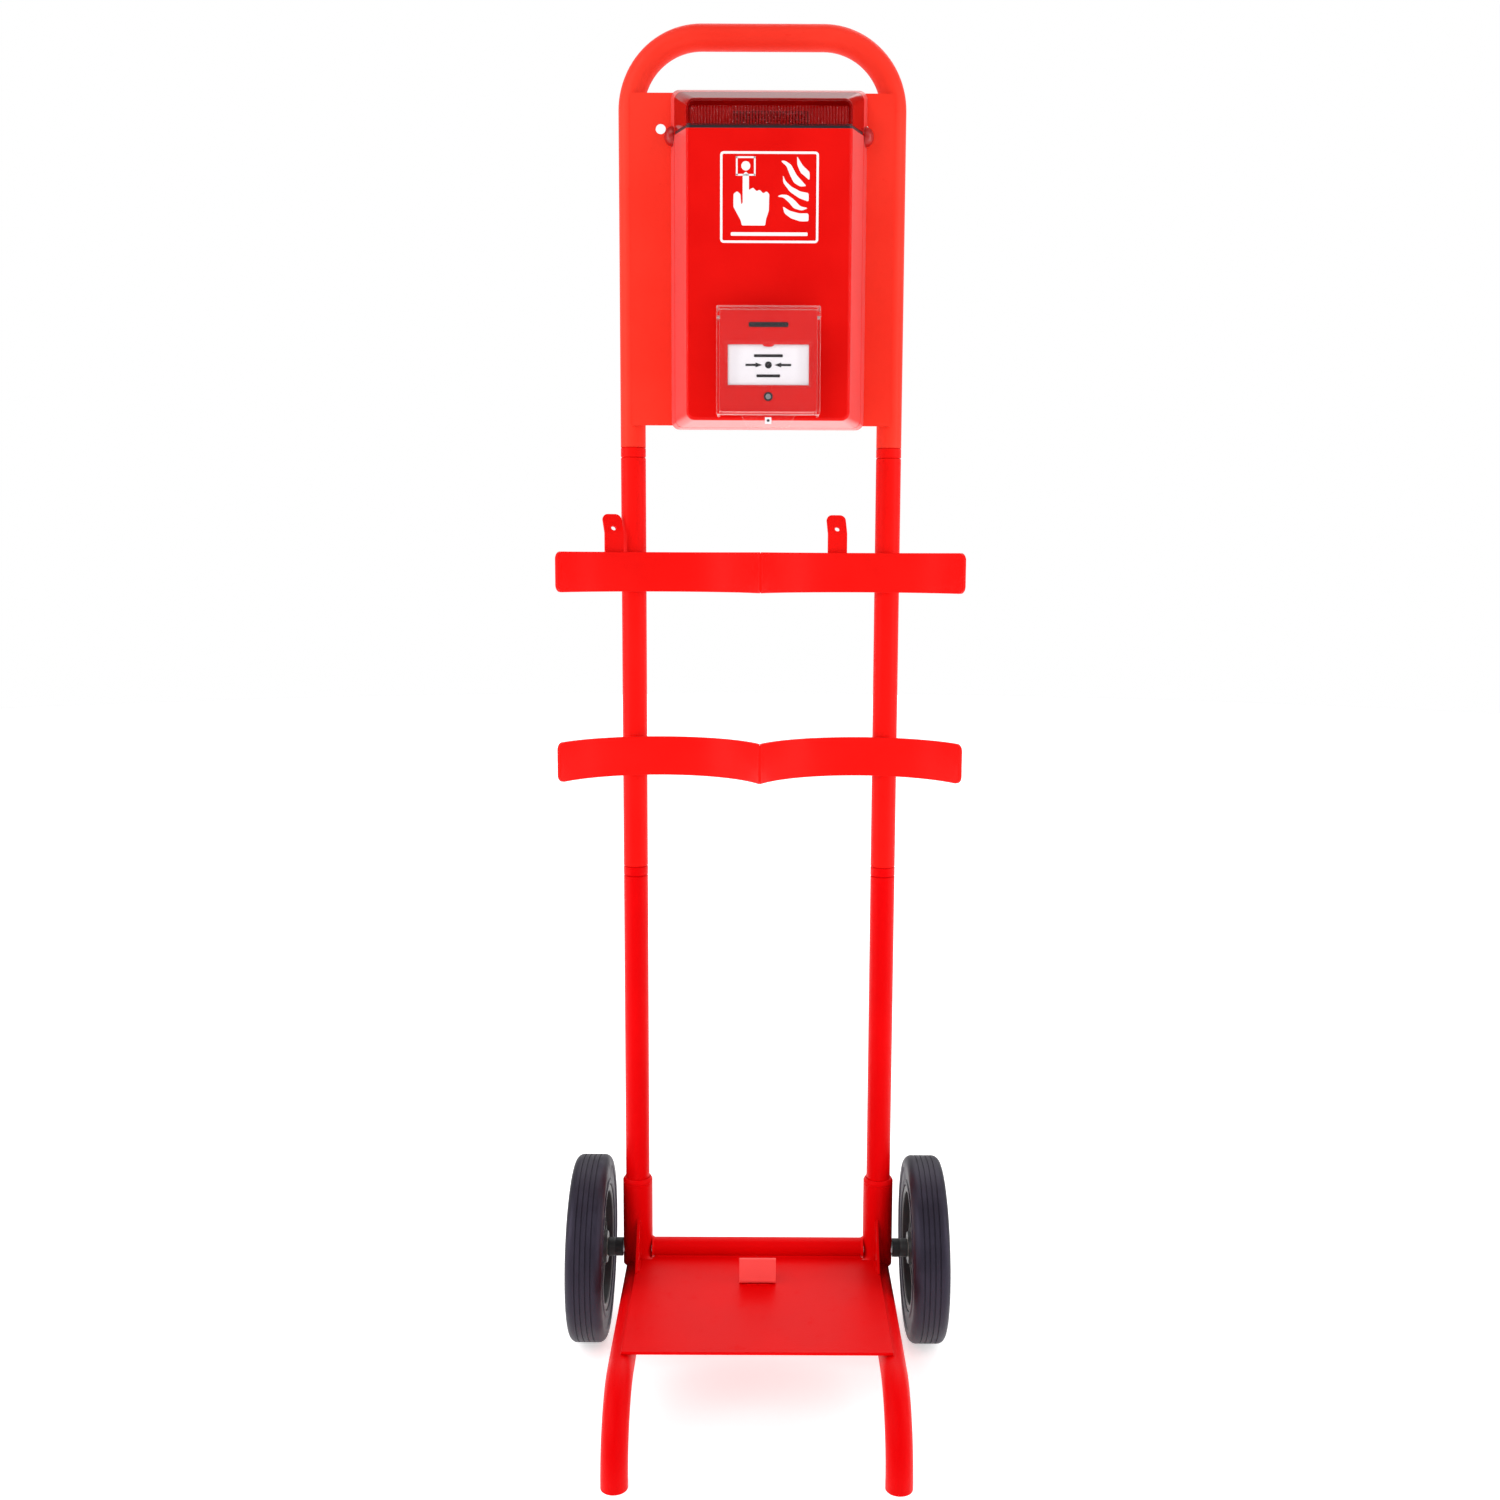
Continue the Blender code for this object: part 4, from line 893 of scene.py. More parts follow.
# %% Gussets and the stop bracket
gusset_low, gusset_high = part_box("gusset_left")
back, front, floor_z, peak = gusset_high.y, gusset_low.y, gusset_low.z, gusset_high.z
cut_sheet([(0, 0), (0, peak - floor_z), (front - back, 0)], gusset_high.x - gusset_low.x)
soften(0.0005)
where = {"place": (gusset_high.x, back, floor_z), "turned_by": (0, 0, QUARTER)}
gusset = keep("gusset_left_plate", "frame", "lower coat", "gusset_left", **where)
gusset_shift = (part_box("gusset_right")[0].x - gusset_low.x, 0, 0)
copied(gusset, "gusset_right_plate", "frame", "gusset_right", shift=gusset_shift)

stop_low, stop_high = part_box("stop_bracket")
deep = stop_high.y - stop_low.y
rise = stop_high.z - stop_low.z
sheet = 0.003
angle_section = [(0, 0), (deep, 0), (deep, sheet), (sheet, sheet), (sheet, rise), (0, rise)]
cut_sheet(angle_section, stop_high.x - stop_low.x)
choose("EDGE", lambda middle, facing: abs(facing.y) > 0.9 and max(middle.x, middle.z) < 0.001)
roll(0.0045, 6)
soften(0.0005)
where = {"place": (stop_high.x, stop_low.y, stop_low.z), "turned_by": (0, 0, QUARTER)}
# The stop's paler coat is painted light on its face.
keep("stop", "frame", "chalky coat", "stop_bracket", **where)

# %% [markdown]
# ## Cradles
#
# Four arcs of flat bar hold the extinguishers. A bar section is swept round a vertical axis,
# mitred at the middle of the stand with a bisect, and its two corners at the free end are
# rounded. One arc is modelled, and the others are copies turned and shifted.

# %% Cradle arcs
CRADLE_CENTRE = Vector((0.101, -0.02524, 0.0))
CRADLE_R = 0.1117
BAR = 0.004
arc_low, arc_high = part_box("upper_cradle_right")
arc_z = (arc_low.z + arc_high.z) / 2
bar_height = arc_high.z - arc_low.z
arc_start = -1.22
arc_end = math.asin((arc_high.x - CRADLE_CENTRE.x) / (CRADLE_R + BAR / 2))
start_place = CRADLE_CENTRE + CRADLE_R * Vector((math.sin(arc_start), math.cos(arc_start), 0))
start_place.z = arc_z
unit("plane", (BAR, bar_height, 1), start_place, (QUARTER, 0, QUARTER - arc_start))
sweep(CRADLE_CENTRE, (0, 0, 1), arc_start - arc_end, 44)
take_all()
bpy.ops.mesh.fill_holes(sides=0)
settle()
bpy.ops.mesh.bisect(plane_co=(0.00015, 0, 0), plane_no=(-1, 0, 0), use_fill=True, clear_outer=True)
settle()

END_CORNER = 0.0075
along = Vector((math.cos(arc_end), -math.sin(arc_end), 0))
end_middle = CRADLE_CENTRE + CRADLE_R * Vector((math.sin(arc_end), math.cos(arc_end), 0))
end_middle.z = arc_z
for upwards in (Vector((0, 0, 1)), Vector((0, 0, -1))):
    corner = end_middle - END_CORNER * along + (bar_height / 2 - END_CORNER) * upwards
    for step in range(1, 8):
        angle = QUARTER * step / 8
        facing = math.cos(angle) * along + math.sin(angle) * upwards
        take_all()
        place = corner + END_CORNER * facing
        bpy.ops.mesh.bisect(plane_co=place, plane_no=facing, use_fill=True, clear_outer=True)
settle()
soften(0.0007)
arc = keep("upper_arc_right", "frame", "cradle coat", "upper_cradle_right")
mirror_point = (0, 0, arc_z)
drop = (0, 0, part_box("lower_cradle_left")[0].z - arc_low.z)
left_arc = copied(arc, "upper_arc_left", "frame", "upper_cradle_left", half_turn="Y", about=mirror_point)
copied(arc, "lower_arc_right", "frame", "lower_cradle_right", shift=drop)
copied(left_arc, "lower_arc_left", "frame", "lower_cradle_left", shift=drop)

# %% Strap tabs
TAB_WIDTH = 0.020
TAB_SHEET = 0.003
TAB_LEAN = math.radians(25)
TAB_FROM_CENTRE = {"left": 0.047, "right": -0.0224}
TAB_BEND = 0.005
TAB_HEAD = 0.0188
TAB_HOLE = 0.0025
TAB_STAND = 0.018
lean = Vector((0, math.sin(TAB_LEAN), math.cos(TAB_LEAN)))


def strap_tab(name, side):
    """A drilled tab behind the upper cradle, whose head leans back from a bend."""
    node = "strap_tab_" + name
    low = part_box(node)[0]
    bend_z = arc_high.z + TAB_STAND
    unit("plane", (TAB_WIDTH, TAB_SHEET, 1), (0, TAB_SHEET / 2, low.z - bend_z))
    push(0, 0, bend_z - low.z)
    sweep((0, TAB_SHEET + TAB_BEND, 0), (1, 0, 0), -TAB_LEAN, 6)
    push(*(TAB_HEAD * lean))
    settle()
    top = max(vert.co.z for vert in bmesh.from_edit_mesh(bpy.context.object.data).verts)
    flat = lambda facing: abs(facing.x) < 0.1 and abs(facing.z) < 0.6
    choose("EDGE", lambda middle, facing: middle.z > top - 0.004 and flat(facing))
    roll(0.006, 8)
    leave_edit()
    cut(cylinder_cutter(TAB_HOLE, 0.03, (0, 0.0015, 0.0065), (QUARTER - TAB_LEAN, 0, 0)))
    soften(0.0005)
    radius = CRADLE_R + BAR / 2 + GAP
    angle = math.asin(TAB_FROM_CENTRE[name] / radius)
    spoke = Vector((math.sin(angle), math.cos(angle), 0)) * radius
    place = (side * (CRADLE_CENTRE.x + spoke.x), CRADLE_CENTRE.y + spoke.y, bend_z)
    keep("tab_" + name, "frame", "cradle coat", node, place=place, turned_by=(0, 0, -side * angle))


strap_tab("left", -1)
strap_tab("right", 1)

# %% [markdown]
# ## Welds
#
# A weld bead is a string of small puddles. A straight bead is a thin lathe piece whose radius
# ripples, sunk half into the corner that it fills. All the beads of one colour are joined.

# %% Weld beads
RIPPLE = 0.0021


def bead(start, end, radius):
    """One rippled bead from start to end."""
    start, end = Vector(start), Vector(end)
    length = (end - start).length
    count = max(3, round(length / RIPPLE))
    profile = [(0, 0)]
    for step in range(2 * count + 1):
        swell = 1.0 if step % 2 else 0.80
        taper = min(1.0, 0.45 + step / 3, 0.45 + (2 * count - step) / 3)
        profile.append((radius * swell * taper, length * step / (2 * count)))
    lathe([*profile, (0, length)], 10)
    leave_edit()
    piece = bpy.context.object
    piece.rotation_euler = (end - start).to_track_quat("Z", "Y").to_euler()
    piece.location = start
    bpy.ops.object.transform_apply(location=True, rotation=True)
    return piece


def weld(name, finish, beads):
    """Joins mirrored pairs of beads into one piece."""
    made = []
    for start, end, radius in beads:
        for side in (-1, 1):
            ends = [(side * x, y, z) for x, y, z in (start, end)]
            made.append(bead(*ends, radius))
    join(made)
    shade()
    return keep(name, "frame", finish)


edge_x = -post.x
gusset_x = -gusset_high.x - 0.0002
gusset_y = back + 0.0002
socket_y, socket_z = post.y - SOCKET_R, rail_z + 0.0125
stop_y = stop_low.y - 0.0003
tray_y, tray_z = tray_high.y + 0.0013, tray_high.z - 0.0003
under_x, under_z = edge_x - 0.0085, tray_low.z - 0.0008
base_beads = [
    ((gusset_x, gusset_y, floor_z + 0.004), (gusset_x, gusset_y, peak - 0.002), 0.0014),
    ((gusset_x, back - 0.004, floor_z), (gusset_x, front + 0.004, floor_z), 0.0014),
    ((edge_x + 0.004, socket_y, socket_z), (edge_x - 0.004, socket_y, socket_z), 0.0016),
    ((0.0005, stop_y, stop_low.z), (0.012, stop_y, stop_low.z), 0.0011),
    ((0.0, tray_y, tray_z), (0.112, tray_y, tray_z), 0.0017),
    *[((under_x, y, under_z), (under_x, y + 0.03, under_z), 0.0022) for y in (-0.095, -0.015, 0.045)],
]
weld("welds_base", "lower coat", base_beads)
fillet = [(cross_r - 0.0005, 0), (cross_r + 0.0016, 0), (cross_r + 0.0010, 0.0010), (cross_r, 0.0024)]
where = {"place": (-cross_high.x - 0.0006, post.y, axle_z), "turned_by": (0, QUARTER, 0)}
fillet += [(cross_r - 0.0005, 0.0024), fillet[0]]
fillet_ring = turned(fillet, "weld_ring_left", "frame", "lower coat", sides=40, **where)
copied(fillet_ring, "weld_ring_right", "frame", half_turn="Z", about=(0, post.y, axle_z))
BAR_Y = 0.0868
cradle_beads = [
    ((edge_x + shift, BAR_Y + lag, z + 0.005), (edge_x + shift, BAR_Y + lag, z + 0.035), 0.0016)
    for z in (arc_low.z, arc_low.z + drop[2])
    for shift, lag in ((-0.0065, 0.0004), (0.0065, -0.0012))
]
mitre_beads = [
    ((0.0004, 0.0189, z + 0.001), (0.0004, 0.0189, z + bar_height - 0.001), 0.0014)
    for z in (arc_low.z, arc_low.z + drop[2])
]
plate_low, plate_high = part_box("back_plate")
plate_beads = [
    ((edge_x - 0.0062, 0.0862, z), (edge_x - 0.0062, 0.0862, z + 0.022), 0.0015)
    for z in (plate_low.z + 0.012, plate_low.z + 0.15, plate_high.z - 0.034)
]
weld("welds_plate", "upper coat", plate_beads)
weld("welds_cradles", "cradle coat", cradle_beads + mitre_beads)

# %% [markdown]
# ## Wheels
#
# A solid rubber tyre with four fine grooves sits on a black moulded hub with ribs, which runs on
# a nylon bush. Each wheel turns with its own body. The section is drawn once and spun, and
# the right wheel is the left one turned half round, so that its outside still faces out.

# %% Tyre
TYRE_R = 0.0975
TYRE_HALF = 0.019
SHOULDER = 0.008
TYRE_BORE = 0.066
GROOVES = (-0.0082, -0.0028, 0.0028, 0.0082)


def tyre_section():
    """The closed half section of the tyre, from its outer bead round the tread to its inner bead."""
    side = [
        (TYRE_BORE, TYRE_HALF - 0.0014),
        (TYRE_BORE + 0.0012, TYRE_HALF - 0.0004),
        (0.0712, TYRE_HALF - 0.0004),
        (0.0724, TYRE_HALF - 0.0016),
        (0.0842, TYRE_HALF - 0.0016),
        (0.0854, TYRE_HALF - 0.0003),
    ]
    for step in range(9):
        angle = QUARTER * step / 8
        inwards, down = 1 - math.cos(angle), 1 - math.sin(angle)
        side.append((TYRE_R - SHOULDER * down, TYRE_HALF - SHOULDER * inwards))
    tread = []
    for groove in reversed(GROOVES):
        for offset, depth in ((0.0007, 0), (0.0004, 0.0009), (-0.0004, 0.0009), (-0.0007, 0)):
            tread.append((TYRE_R - depth, groove + offset))
    return [*side, *tread, *[(radius, -height) for radius, height in reversed(side)], side[0]]


hub = middle_of("tyre_left")
outwards = (0, -QUARTER, 0)
on_wheel = {"place": hub, "turned_by": outwards}
tyre = turned(
    tyre_section(), "tyre_left_smooth", "left_wheel", "rubber", "tyre_left", sides=96, **on_wheel
)

# %% Hub and its ribs
HUB_HALF = 0.017
HUB_R = 0.0657
BOSS_R = 0.017
WEB_HALF = 0.005
bore = 0.0106
half_hub = [
    (bore, 0),
    (bore, HUB_HALF - 0.0006),
    (bore + 0.0006, HUB_HALF),
    (BOSS_R - 0.0008, HUB_HALF),
    (BOSS_R, HUB_HALF - 0.0008),
    (BOSS_R + 0.0006, WEB_HALF + 0.0025),
    (BOSS_R + 0.0030, WEB_HALF),
    (HUB_R - 0.0095, WEB_HALF),
    (HUB_R - 0.0072, WEB_HALF + 0.0022),
    (HUB_R - 0.0068, HUB_HALF - 0.0010),
    (HUB_R - 0.0058, HUB_HALF),
    (HUB_R - 0.0008, HUB_HALF),
    (HUB_R, HUB_HALF - 0.0008),
]
section = [*half_hub, *[(radius, -height) for radius, height in reversed(half_hub)]]
disc = turned(section, "hub_left", "left_wheel", "hub black", "wheel_hub_left", sides=72, **on_wheel)

RIBS = 8
rib_length = HUB_R - 0.0072 - BOSS_R
rib_middle = BOSS_R + rib_length / 2
unit("cube", (rib_length, 0.0034, 2 * HUB_HALF - 0.006), (rib_middle, 0, 0))
choose("VERT", lambda middle, facing: middle.x > rib_middle)
bpy.ops.transform.resize(value=(1, 1, 0.72), center_override=(0, 0, 0))
choose("EDGE", lambda middle, facing: abs(middle.z) > 0.006 and abs(facing.x) > 0.5)
roll(0.0010, 3)
take_all()
last = math.tau * (RIBS - 1) / RIBS
bpy.ops.mesh.spin(steps=RIBS - 1, angle=last, dupli=True, center=(0, 0, 0), axis=(0, 0, 1))
settle()
shade()
ribs = keep("hub_ribs_left", "left_wheel", "hub black", **on_wheel)

# %% Axle fittings
AXLE_BORE = 0.0063


def on_axle(name, node, finish, section):
    """A turned fitting on the axle's left end. section(length) gives its half section."""
    low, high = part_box(node)
    where = {"place": (high.x, post.y, axle_z), "turned_by": outwards}
    return turned(section(high.x - low.x), name, "frame", finish, node, **where)


def cap_section(tall):
    brim = [(AXLE_BORE, 0), (0.0106, 0), (0.0110, 0.0004), (0.0110, 0.0018)]
    inside = [(0, tall - 0.001), (AXLE_BORE, tall - 0.001), (AXLE_BORE, 0)]
    return [*brim, *dome(0.0102, tall - 0.0022, 0.0022), *inside]


def spacer_section(long):
    """A sleeve with a shallow waist."""
    sleeve = ring(0.0098, AXLE_BORE, long, 0.0005)
    waist = [(0.0098, long * 0.4), (0.0092, long * 0.45), (0.0092, long * 0.55), (0.0098, long * 0.6)]
    return [*sleeve[:3], *waist, *sleeve[3:]]


def washer_section(thick):
    return ring(0.014, AXLE_BORE, thick, 0.0002)


cap = on_axle("cap_left", "hub_cap_left", "hub black", cap_section)
washer = on_axle("washer_left", "axle_washer_left", "steel", washer_section)
spacer = on_axle("spacer_left", "axle_spacer_left", "black plastic", spacer_section)

wheel_pieces = (
    (tyre, "tyre_right_smooth", "right_wheel", ("tyre_right",)),
    (disc, "hub_right", "right_wheel", ("wheel_hub_right",)),
    (ribs, "hub_ribs_right", "right_wheel", ()),
    (cap, "cap_right", "frame", ("hub_cap_right",)),
    (washer, "washer_right", "frame", ("axle_washer_right",)),
    (spacer, "spacer_right", "frame", ("axle_spacer_right",)),
)
for piece, name, body, nodes in wheel_pieces:
    copied(piece, name, body, *nodes, half_turn="Z", about=(0, post.y, axle_z))

# %% [markdown]
# ## The back plate and other frame solids with finer edges
#
# Some pieces are right in the frame but for their edges, which are dead sharp there. On the
# real object a sheet's edge is deburred and a moulding has a small radius, and those thin
# lines are what catch the light. Each is copied, its facets are merged back into flat faces, and
# its edges are rolled.

# %% Copies with rolled edges
FLAT = math.radians(1.0)


def with_rolled_edges(node, name, body, finish, width):
    """A copy of a frame solid, its triangles merged into flat faces and its edges rolled."""
    only(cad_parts[node])
    bpy.ops.object.duplicate()
    copy = bpy.context.object
    matrix = copy.matrix_world.copy()
    copy.parent = None
    copy.matrix_world = Matrix()
    copy.data.transform(matrix)
    for key in list(copy.keys()):
        del copy[key]
    bpy.ops.object.mode_set(mode="EDIT")
    settle()
    bpy.ops.mesh.dissolve_limited(angle_limit=FLAT)
    settle()
    soften(width, 2, 50)
    return keep(name, body, finish, node)


with_rolled_edges("back_plate", "plate", "frame", "upper coat", 0.0004)
with_rolled_edges("call_point_body", "call_point", "frame", "call point red", 0.0006)
guard = with_rolled_edges("clear_cover", "guard", "clear_cover", "clear guard", 0.0008)
with_rolled_edges("call_element", "press_plate", "call_element", "white plastic", 0.0005)
with_rolled_edges("reset_key_barrel", "key", "reset_key", "steel", 0.0002)
with_rolled_edges("cover_seal", "seal", "clear_cover", "white plastic", 0.0003)
# The thumb screws take the darker red as painted shade, for the shadowed sides they sit on.
for side in ("left", "right"):
    with_rolled_edges(f"cover_screw_{side}", f"thumb_screw_{side}", "frame", "alarm dark", 0.0004)

# %% [markdown]
# ### Bright edges of the guard
#
# Clear acrylic carries light inside its sheet and lets it out at the edges, which is why a
# guard is seen mostly by its outline. The rolled edges get a skin of their own, paler than the
# clear faces between them: a painted highlight that stands for that light.

# %% Edge skin of the guard
HIGHLIGHT_SKIN = 0.00006
copied(guard, "guard_edges", "clear_cover")
bpy.ops.object.mode_set(mode="EDIT")
choose("FACE", lambda middle, facing: max(abs(facing.x), abs(facing.y), abs(facing.z)) > 0.98)
bpy.ops.mesh.delete(type="FACE")
modify("SOLIDIFY", thickness=HIGHLIGHT_SKIN, offset=1.0)
keep("guard_edges", "clear_cover", "clear edge")

# %% [markdown]
# ## The alarm housing
#
# The housing tapers towards the front, so that it leaves its mould. A cube is given the
# taper, its corners and front edge are rounded, and bisects split it into back box, cover and lens
# along the lines where the real one opens. Each part is then a shell with a moulded wall. A
# black gasket sits just inside the joint between lens and cover.

# %% The tapered solid and its parts
back_low, back_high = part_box("alarm_back_box")
front_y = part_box("alarm_cover")[0].y
split_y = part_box("alarm_cover")[1].y
alarm_x = (back_low.x + back_high.x) / 2
FRONT_NARROWER = 0.0385
FRONT_RAISED = 0.0022
FRONT_LOWERED = 0.0320
HOUSING_CORNER = 0.008
FRONT_EDGE = 0.003
HOUSING_WALL = 0.0025
JOINT = 0.0004
LENS_LIFT = 0.0022
SEAM_SLOPE = 0.1647
SEAM_FRONT_Z = 1.2386
seam = {"plane_no": Vector((0, -SEAM_SLOPE, 1)).normalized()}
ahead = {"plane_no": (0, 1, 0)}


def housing(shrink=0.0):
    """The whole tapered housing as a closed solid, drawn in by shrink."""
    width = back_high.x - back_low.x
    tall = back_high.z - back_low.z
    middle_y = (back_high.y + front_y) / 2
    middle_z = (back_high.z + back_low.z) / 2
    size = (width - 2 * shrink, back_high.y - front_y - 2 * shrink, tall - 2 * shrink)
    unit("cube", size, (alarm_x, middle_y, middle_z))
    choose("VERT", lambda middle, facing: middle.y < middle_y)
    narrow = ((width - FRONT_NARROWER) / width, 1, (tall - FRONT_RAISED - FRONT_LOWERED) / tall)
    bpy.ops.transform.resize(value=narrow, center_override=(alarm_x, middle_y, middle_z))
    bpy.ops.transform.translate(value=(0, 0, (FRONT_RAISED - FRONT_LOWERED) / 2))
    choose("EDGE", lambda middle, facing: abs(facing.y) > 0.8)
    roll(HOUSING_CORNER - shrink, 8)
    choose("EDGE", lambda middle, facing: middle.y < front_y + shrink + 0.0002)
    roll(FRONT_EDGE - shrink / 2, 5)


def split(place, plane, **side):
    take_all()
    bpy.ops.mesh.bisect(plane_co=place, **plane, **side)


def shell(wall, rim=0.0004):
    take_all()
    modify("SOLIDIFY", thickness=wall, offset=-1.0, use_even_offset=True)
    soften(rim, 2, 50)


def seam_point(lift):
    return (0, front_y, SEAM_FRONT_Z + lift)


housing()
split((0, split_y + 2 * JOINT, 0), ahead, clear_inner=True)
shell(HOUSING_WALL)
keep("alarm_back", "frame", "alarm red", "alarm_back_box")

housing()
split((0, split_y - JOINT, 0), ahead, clear_outer=True)
split(seam_point(-JOINT), seam, clear_outer=True)
shell(HOUSING_WALL)
keep("alarm_front", "frame", "alarm red", "alarm_cover")

housing()
split((0, split_y - JOINT, 0), ahead, clear_outer=True)
split(seam_point(LENS_LIFT), seam, clear_inner=True)
shell(HOUSING_WALL - 0.0005, 0.0003)
keep("lens", "frame", "lens red", "beacon_lens")

housing(0.0009)
split((0, split_y - 0.001, 0), ahead, clear_outer=True)
split(seam_point(-0.0006), seam, clear_inner=True)
split(seam_point(0.0036), seam, clear_outer=True)
shell(0.0012, 0.0001)
keep("lens_gasket", "frame", "black print")

# %% Ribs of the lens and the lamps behind it
RIB_PITCH = 0.00285
RIB_COUNT = 51
RIB_LOW = SEAM_FRONT_Z + LENS_LIFT + 0.0010
RIB_HIGH = 1.2580
rib_x = alarm_x - RIB_PITCH * (RIB_COUNT - 1) / 2
rib_size = (0.0016, 0.0010, RIB_HIGH - RIB_LOW)
rib_place = (rib_x, front_y, (RIB_LOW + RIB_HIGH) / 2)
unit("cube", rib_size, rib_place)
choose("EDGE", lambda middle, facing: abs(facing.z) > 0.9 and middle.y < front_y)
roll(0.0005, 3)
take_all()
repeat(RIB_COUNT - 1, (RIB_PITCH, 0, 0))
settle()
shade()
keep("lens_ribs", "frame", "lens rib red")

reflector_size = (0.1485, 0.0010, 0.0200)
unit("cube", reflector_size, (alarm_x, 0.0144, 1.2510))
soften(0.0003)
keep("reflector", "frame", "alarm dark")

LAMP_PITCH = 0.0056
LAMPS = 12
LAMP_ROWS = (1.2470, 1.2528)
unit("cube", (LAMPS * LAMP_PITCH + 0.004, 0.004, 0.0140), (alarm_x + 0.001, 0.0115, 1.2500))
soften(0.001)
keep("lamp_bar", "frame", "black print")
lamp_section = [(0, 0), (0.0021, 0), (0.0021, 0.002), *dome(0.0021, 0.0022, 0.002)[1:-1], (0, 0.0042)]
first_lamp = (alarm_x - LAMP_PITCH * (LAMPS - 1) / 2, 0.0096, LAMP_ROWS[0])
where = {"place": first_lamp, "turned_by": (QUARTER, 0, 0)}
lamp = turned(lamp_section, "lamp_1", "frame", "black plastic", sides=16, **where)
bpy.ops.object.mode_set(mode="EDIT")
take_all()
repeat(LAMPS - 1, (LAMP_PITCH, 0, 0))
take_all()
repeat(1, (0, 0, LAMP_ROWS[1] - LAMP_ROWS[0]))
settle()
leave_edit()
lamp.name = lamp.data.name = "lamps"

# %% [markdown]
# ## Printed signs
#
# The sign on the cover says with a picture what the button does: a finger on a button, and
# flames. Words would only suit one language and one maker, so their places take plain
# bars. Print is a layer a fifth of a millimetre thick, drawn as outlines on a small grid.

# %% The sign
INK = 0.0002
SIGN_X, SIGN_Z = 0.00092, 0.00085
SIGN_CENTRE = (0.0068, 1.17595)
HAND = [
    (-27.1, -6.0), (-28.6, -7.5), (-29.4, 3.4), (-32.9, 6.4), (-36.3, 3.6), (-36.5, -10.1), (-29.1, -24.3),
    (-27.8, -29.9), (-4.2, -29.9), (-3.2, -22.9), (-0.5, -14.2), (-0.1, 3.4), (-2.6, 6.3), (-6.4, 4.2),
    (-9.9, 8.0), (-13.0, 6.4), (-16.6, 10.3), (-20.8, 7.6), (-20.8, 24.0), (-24.0, 27.2), (-27.1, 24.0),
]
FLAMES = (
    [
        (27.8, 43.8), (28.2, 34.4), (31.5, 26.3), (40.7, 18.2),
        (40.7, 27.0), (34.2, 33.0), (30.9, 38.4),
    ],
    [
        (11.3, 38.7), (16, 38.7), (22, 34.4), (27.5, 23.6), (37.6, 12.1),
        (31.5, 11.5), (24.8, 15.5), (20.8, 23.6), (17.4, 32.7),
    ],
    [
        (13.6, 23.6), (14, 15.5), (20.8, 6.1), (30.2, -0.7), (39.9, -4.4),
        (39.9, 4.7), (31.5, 6.3), (22.1, 11.5), (16.7, 16.8),
    ],
    [
        (8, 0.9), (12, 3.0), (18, 2.7), (24.8, -2), (31.5, -9.4),
        (39.4, -11.2), (32.9, -13.9), (24.8, -11.5), (19.4, -4.7), (14, 0),
    ],
    [
        (13.6, -9.4), (15.4, -16.8), (22.1, -22.2), (31.5, -25.3),
        (39.9, -25.3), (39.9, -16.8), (30.2, -16.8), (20.8, -14.2),
    ],
)


def inked(outline, rounding):
    """A layer of ink with this outline of (x, z) points, its back face at y = 0."""
    cut_sheet(outline, -INK, rounding, 5)
    leave_edit()
    return bpy.context.object


def bar(x, z, width, height):
    x0, x1, z0, z1 = x - width / 2, x + width / 2, z - height / 2, z + height / 2
    return inked([(x0, z0), (x1, z0), (x1, z1), (x0, z1)], height * 0.3)


def ink_up():
    """Gives the flat selection the thickness of ink."""
    push(0, -INK, 0)
    settle()
    leave_edit()
    return bpy.context.object


def dot(x, z, radius):
    where = {"location": (x, 0, z), "rotation": (QUARTER, 0, 0)}
    begin("circle", vertices=ROUND, radius=radius, fill_type="NGON", **where)
    return ink_up()


def outline_box(x, z, width, height, line, rounding):
    """A rounded rectangle drawn with a line."""
    unit("plane", (width, height, 1), (x, 0, z), (QUARTER, 0, 0))
    bpy.ops.mesh.bevel(offset=rounding, segments=6, affect="VERTICES")
    take_all()
    bpy.ops.mesh.inset(thickness=line)
    bpy.ops.mesh.delete(type="FACE")
    take_all()
    return ink_up()


def print_layer(name, body, finish, marks, place):
    """Joins the marks and lays them on a face."""
    join(marks)
    return keep(name, body, finish, place=place)


def on_sign(points):
    return [(x * SIGN_X, z * SIGN_Z) for x, z in points]


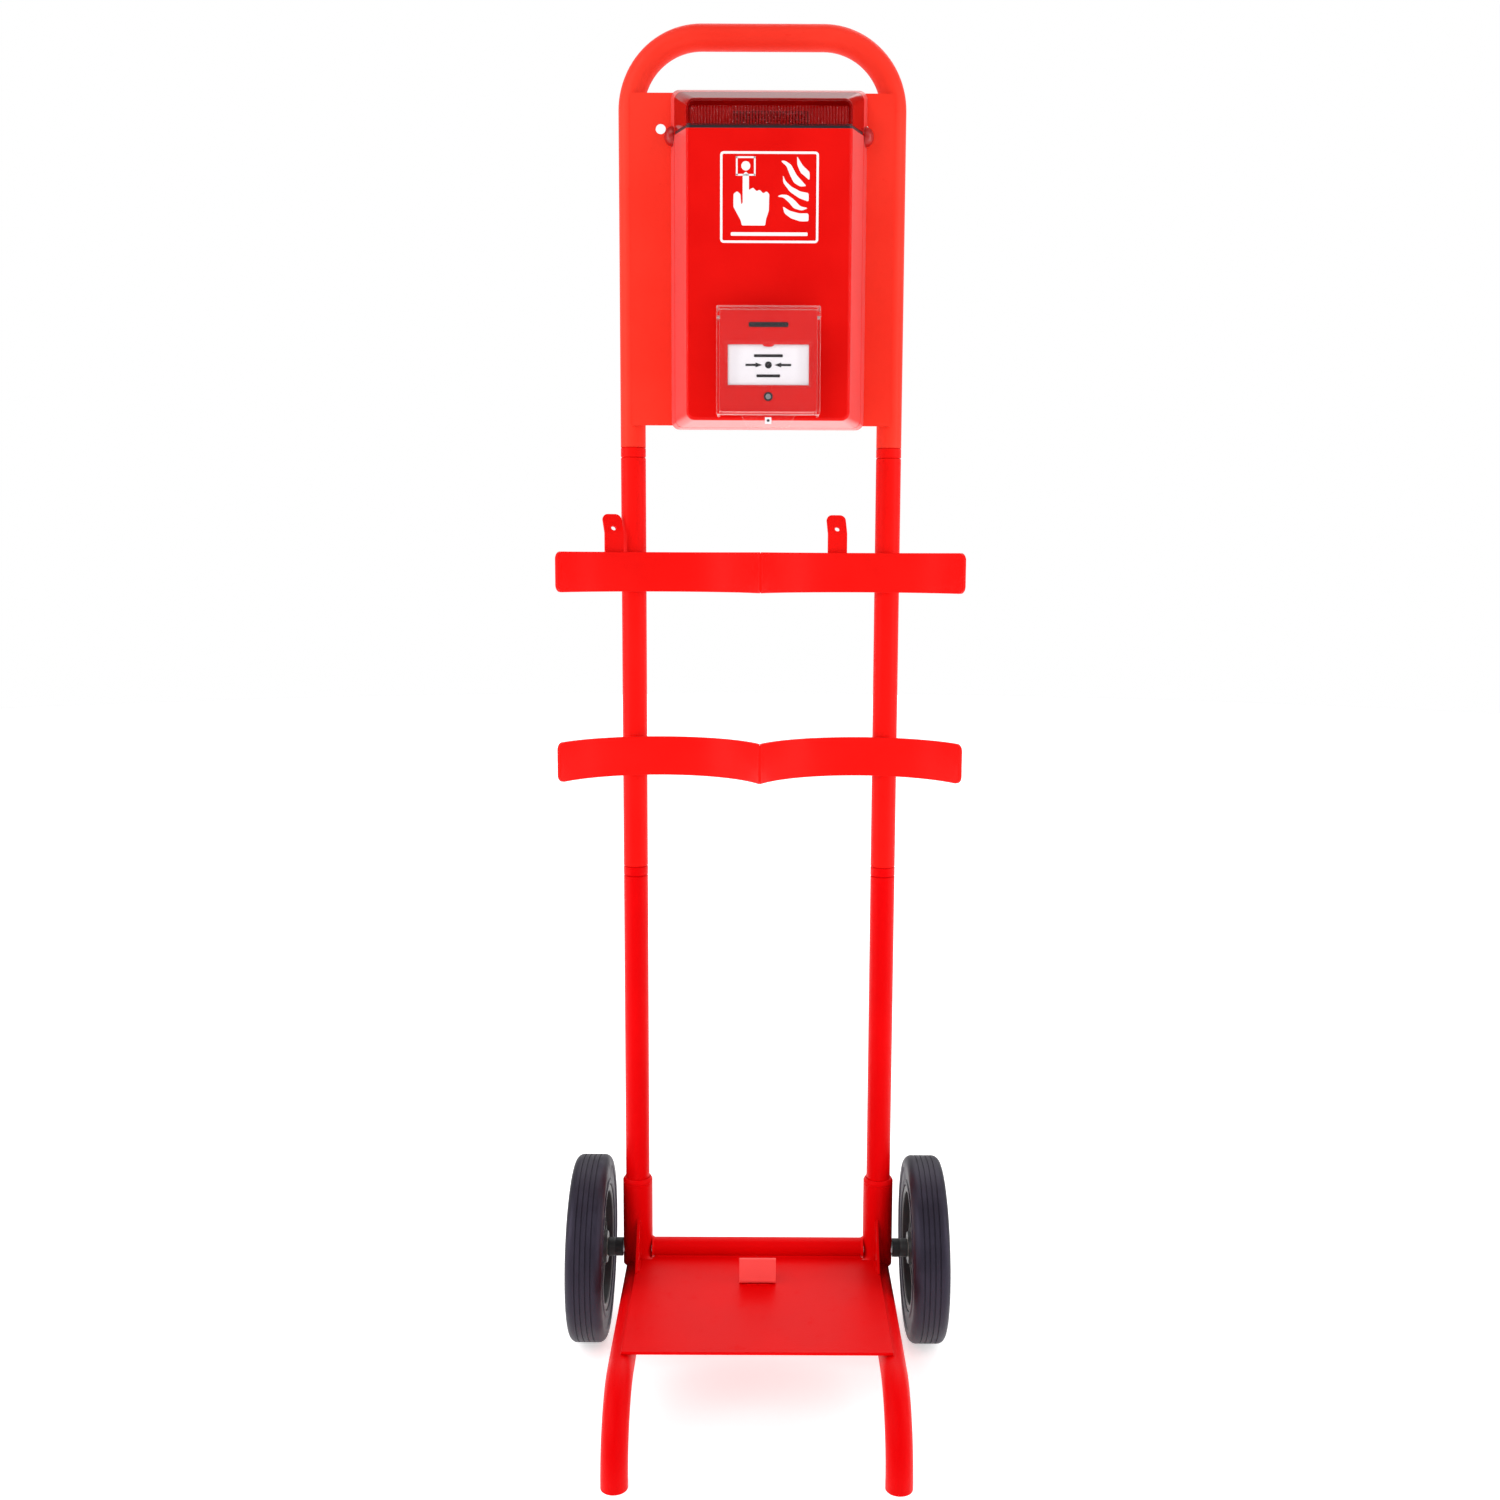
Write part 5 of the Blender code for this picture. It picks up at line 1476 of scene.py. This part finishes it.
sign_marks = [
    outline_box(0, 0, 100 * SIGN_X, 97 * SIGN_Z, 0.0022, 0.0034),
    outline_box(-24 * SIGN_X, 33.0 * SIGN_Z, 20 * SIGN_X, 20.5 * SIGN_Z, 0.0016, 0.0002),
    dot(-24 * SIGN_X, 33.2 * SIGN_Z, 0.0042),
    inked(on_sign(HAND), 0.0014),
    *[inked(on_sign(flame), 0.0016) for flame in FLAMES],
    bar(0, -39 * SIGN_Z, 0.072, 0.0032),
]
print_layer("sign", "frame", "white print", sign_marks, (SIGN_CENTRE[0], front_y, SIGN_CENTRE[1]))

# %% Marks of the call point
call_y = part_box("call_point_body")[0].y
element = middle_of("call_element")
element_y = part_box("call_element")[0].y
under_arrow = [(-0.0213, -0.0010), (-0.0120, -0.0010), (-0.0120, -0.0022)]
arrow = [*under_arrow, (-0.0057, 0), (-0.0120, 0.0022), (-0.0120, 0.0010), (-0.0213, 0.0010)]
marks = [
    dot(0, 0, 0.0032),
    inked(arrow, 0.0001),
    inked([(-x, z) for x, z in arrow], 0.0001),
    bar(0, 0.0084, 0.0270, 0.0026),
    bar(0, -0.0099, 0.0220, 0.0026),
]
print_layer("press_marks", "call_element", "black print", marks, (element.x, element_y, element.z))
print_layer("heading", "frame", "black print", [bar(0, 0, 0.037, 0.0046)], (element.x, call_y, 1.0563))

key = middle_of("reset_key_barrel")
facing_out = {"turned_by": (QUARTER, 0, 0)}
key_ring = ring(0.0042, 0.0025, 0.0005, 0.0002)
turned(key_ring, "key_ring", "frame", "black print", place=(key.x, call_y, key.z), **facing_out)
seal = middle_of("cover_seal")
seal_face = (seal.x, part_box("cover_seal")[0].y, seal.z)
# A black disc on the seal's face stands in for its hole: painted shade.
hole_shade = [(0, 0), (0.0013, 0), (0.0013, 0.0002), (0.0010, 0.0003), (0, 0.0003)]
turned(hole_shade, "seal_hole", "clear_cover", "black plastic", sides=24, place=seal_face, **facing_out)

# %% [markdown]
# ## What the frame already has right
#
# The pieces inside the alarm and the axle are plain in life as well, so the frame's own solids
# stay, and only take a finish.

# %% Carried over pieces
shown = [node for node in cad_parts.values() if not node.hide_render]
for node in shown:
    for place in node.material_slots:
        slot = place.material.name.split(".")[0]
        finish = "clear guard" if slot == "clear_plastic" else slot.replace("_", " ")
        place.material = MATERIALS[finish]
print("kept from the frame:", sorted(node.name for node in shown))
